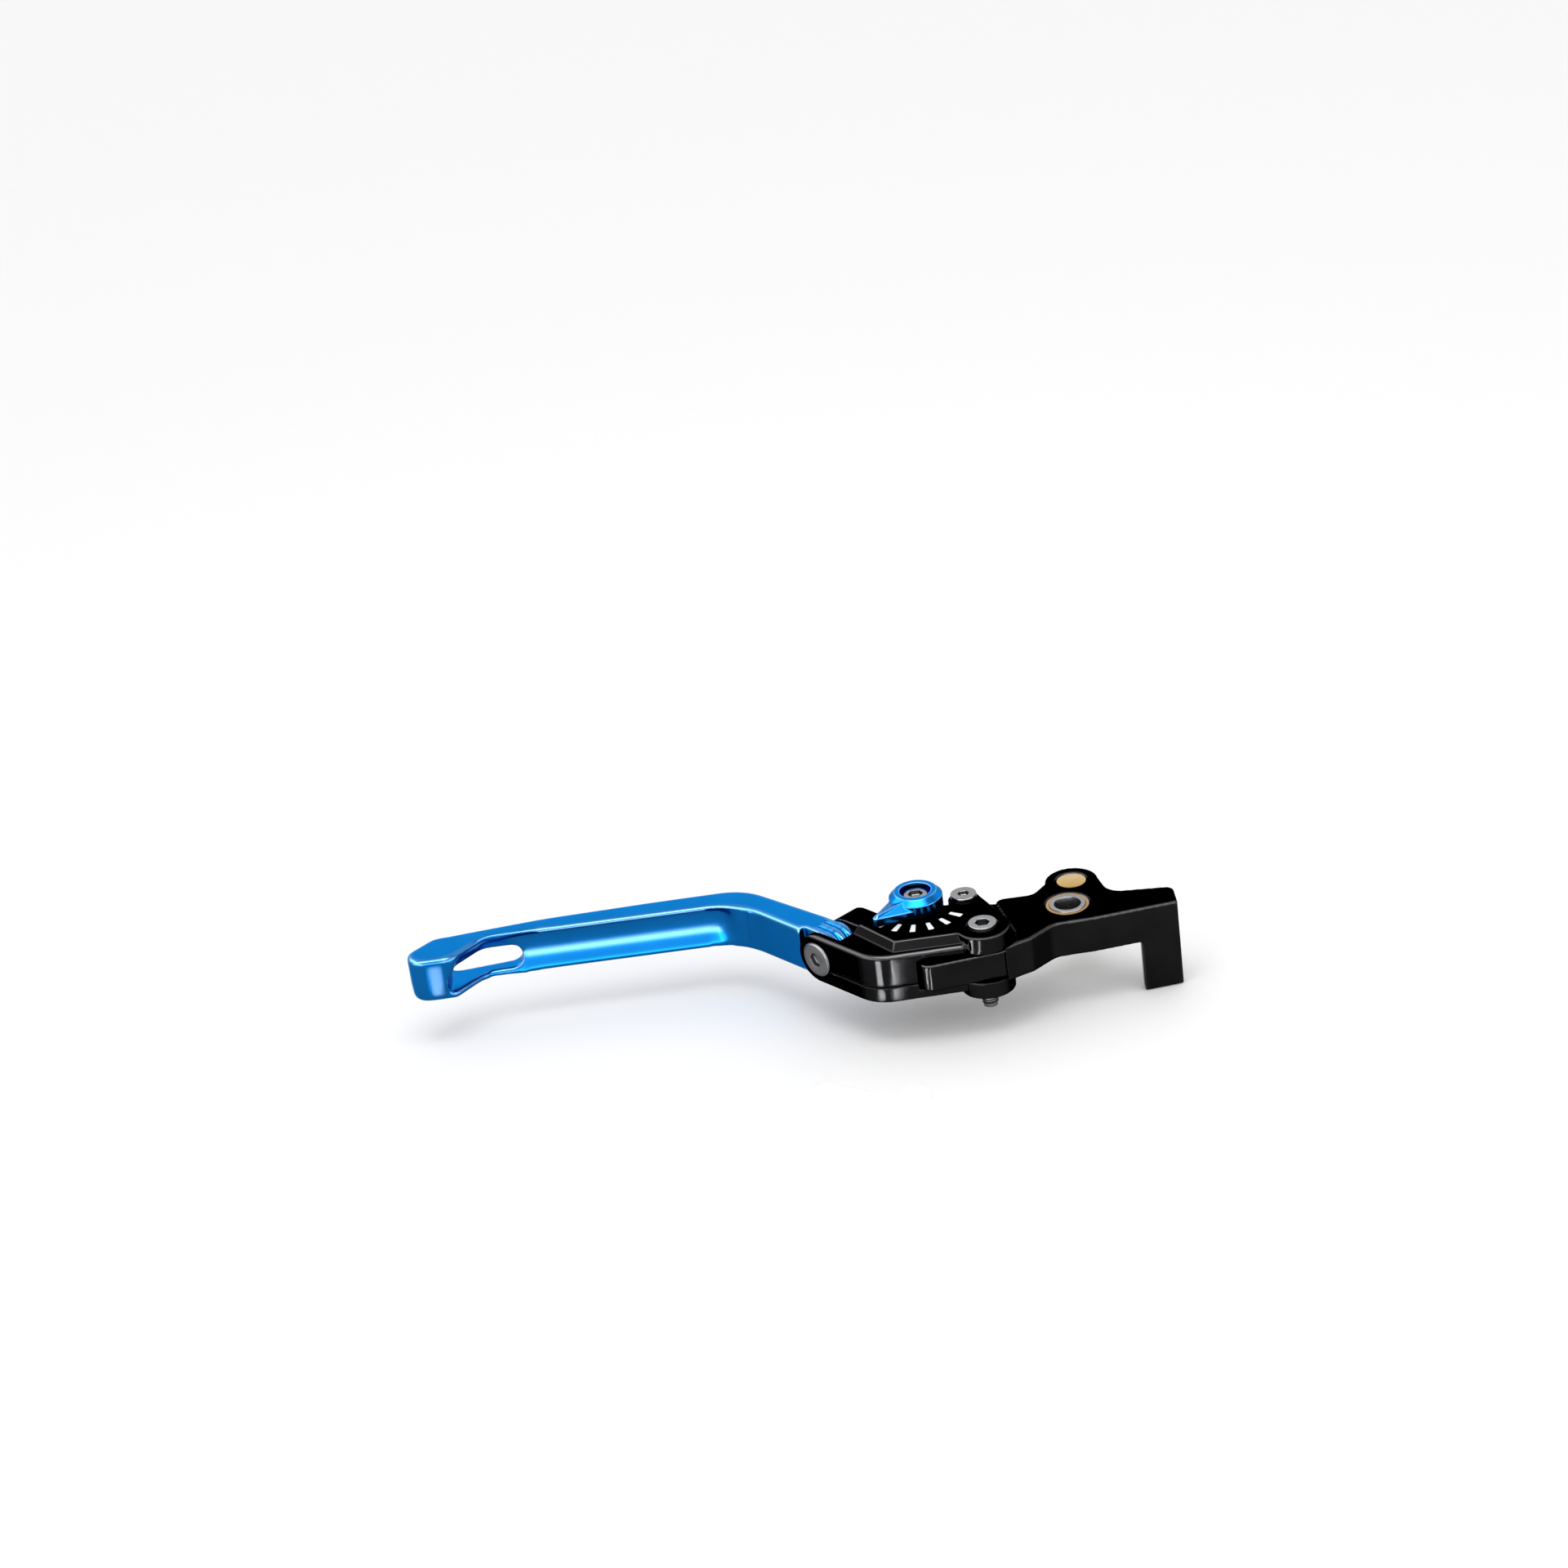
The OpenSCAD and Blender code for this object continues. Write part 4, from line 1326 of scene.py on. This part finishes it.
    def marks(self, shop: Shop) -> None:
        """Fills the position marks with ink.

        Args:
            shop: The workshop.
        """
        low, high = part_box("position_marks")
        inner, outer, narrow, wide = 11.5 * MM, 15.7 * MM, 0.62 * MM, 0.88 * MM
        outline = ((inner, -narrow), (outer, -wide), (outer, wide), (inner, narrow))
        bar = prism("position_marks_ink", outline, low.z, high.z)
        soften(bar, 0.12 * MM)
        apply_modifiers(bar)
        shop.fan.use(bar, Count=self.positions, Start=math.radians(self.first_mark),
                     Step=math.radians(self.mark_step), Centre=(*self.dial_at, 0.0),
                     Finish=shop.finishes[Slot.WHITE])
        shop.place(bar, "position_marks")

    def hinge(self) -> Matrix:
        """Gives the frame of the fold hinge: Z along its axis."""
        yawed = Matrix.Rotation(math.radians(-self.hinge_yaw), 4, "Z")
        return Matrix.Translation((*self.hinge_at, 0)) @ yawed @ Matrix.Rotation(math.radians(-90), 4, "X")

    def detent_spring(self, shop: Shop) -> None:
        """Winds the spring below the dial's ball.

        Args:
            shop: The workshop.
        """
        low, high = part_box("detent_spring")
        wire, turns = 0.35 * MM, 5
        middle = (low + high) / 2
        coil = Coil((high.x - low.x - wire) / 2, (high.z - low.z - wire) / turns, turns, wire, 10, 32)
        shop.wound("detent_spring_wire", "detent_spring", coil,
                   Matrix.Translation((middle.x, middle.y, low.z + wire / 2)))


class ReachPivot:
    """The screw that joins the lever body to the adaptor, its bush and its spring."""

    at: Plan = (-26.8 * MM, -14.9 * MM)
    lug_foot: float = -10 * MM
    root_share: float = 0.87
    ridge_radius: float = 2.22 * MM
    ridge_pitch: float = 0.8 * MM
    ridge_width: float = 0.56 * MM
    spring_foot: float = -3.75 * MM

    def build(self, shop: Shop) -> None:
        """Builds the screw with its thread, the bush and the spring.

        Args:
            shop: The workshop.
        """
        self.screw(shop)
        self.thread(shop)
        low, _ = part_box("reach_spring")
        coil = Coil(5.4 * MM, 1.05 * MM, 2.5, 0.9 * MM, start=120.0,
                    leg_down=self.spring_foot - low.z, leg_up=1.2 * MM)
        place = Matrix.Translation((*self.at, self.spring_foot))
        shop.wound("reach_spring_wire", "reach_spring", coil, place)
        shop.machined("reach_bush", 0.2 * MM)

    def screw(self, shop: Shop) -> None:
        """Turns the stub below the lug down to the root of its thread.

        Args:
            shop: The workshop.
        """
        piece = welded_copy(shop.nodes["reach_screw"], "reach_screw_machined")
        clear_flats(piece)
        with edited(piece.data) as bm:
            for below in (0.3 * MM, 0.6 * MM):
                every = bm.verts[:] + bm.edges[:] + bm.faces[:]
                place = (0, 0, self.lug_foot - below)
                bmesh.ops.bisect_plane(bm, geom=every, dist=1e-7, plane_co=place, plane_no=(0, 0, 1))
            for v in bm.verts:
                if v.co.z < self.lug_foot - 0.5 * MM:
                    v.co.x = self.at[0] + (v.co.x - self.at[0]) * self.root_share
                    v.co.y = self.at[1] + (v.co.y - self.at[1]) * self.root_share
        soften(piece, 0.4 * MM, angle=40.0)
        apply_modifiers(piece)
        smooth(piece)
        shop.place(piece, "reach_screw")

    def thread(self, shop: Shop) -> None:
        """Winds the thread's ridge round the stub.

        Args:
            shop: The workshop.
        """
        low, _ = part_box("reach_screw")
        start = low.z + 0.9 * MM
        turns = (self.lug_foot - 0.2 * MM - start) / self.ridge_pitch
        coil = Coil(self.ridge_radius, self.ridge_pitch, turns, self.ridge_width, 4)
        shop.wound("reach_screw_thread", "reach_screw", coil, Matrix.Translation((*self.at, start)))


class Adaptor:
    """The adaptor between lever body and perch, with its bush, sleeve and barrel."""

    def build(self, shop: Shop) -> None:
        """Builds the adaptor and what turns in it.

        Args:
            shop: The workshop.
        """
        shop.tumbled("adaptor", 0.34 * MM, 3)
        rounding = {"pivot_bush": 0.2, "pivot_sleeve": 0.3, "pushrod_barrel": 0.3}
        for node, width in rounding.items():
            shop.machined(node, width * MM)


class Dial:
    """The reach dial with its pointer, cam and screw."""

    def build(self, shop: Shop) -> None:
        """Builds the dial.

        Args:
            shop: The workshop.
        """
        # The skin's mark lightens worn edges, partly as painted highlights.
        shop.tumbled("selector_dial", 0.15 * MM, 3, wear_and_highlight=WearAndHighlight(full=0.08 * MM))
        shop.machined("selector_screw", 0.3 * MM)
        shop.machined("selector_cam", 0.2 * MM)


def bounds() -> list[list[float]]:
    """Gives the whole object's box as plain lists."""
    return [list(corner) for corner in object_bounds()]


def main() -> None:
    """Builds the lever's looks around its solids."""
    logging.basicConfig(level=logging.INFO, format="%(name)s: %(message)s")
    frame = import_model()
    solids_box = bounds()
    View().build()
    shop = Shop(frame)
    for node in frame["nodes"]:
        shop.dress(node)
    for part in (Blade(), LeverBody(), ReachPivot(), Adaptor(), Dial()):
        part.build(shop)
    Studio().build(solids_box[0][2] - 0.2 * MM)
    bpy.context.scene.view_settings.view_transform = "Standard"


if __name__ == "__main__":
    main()
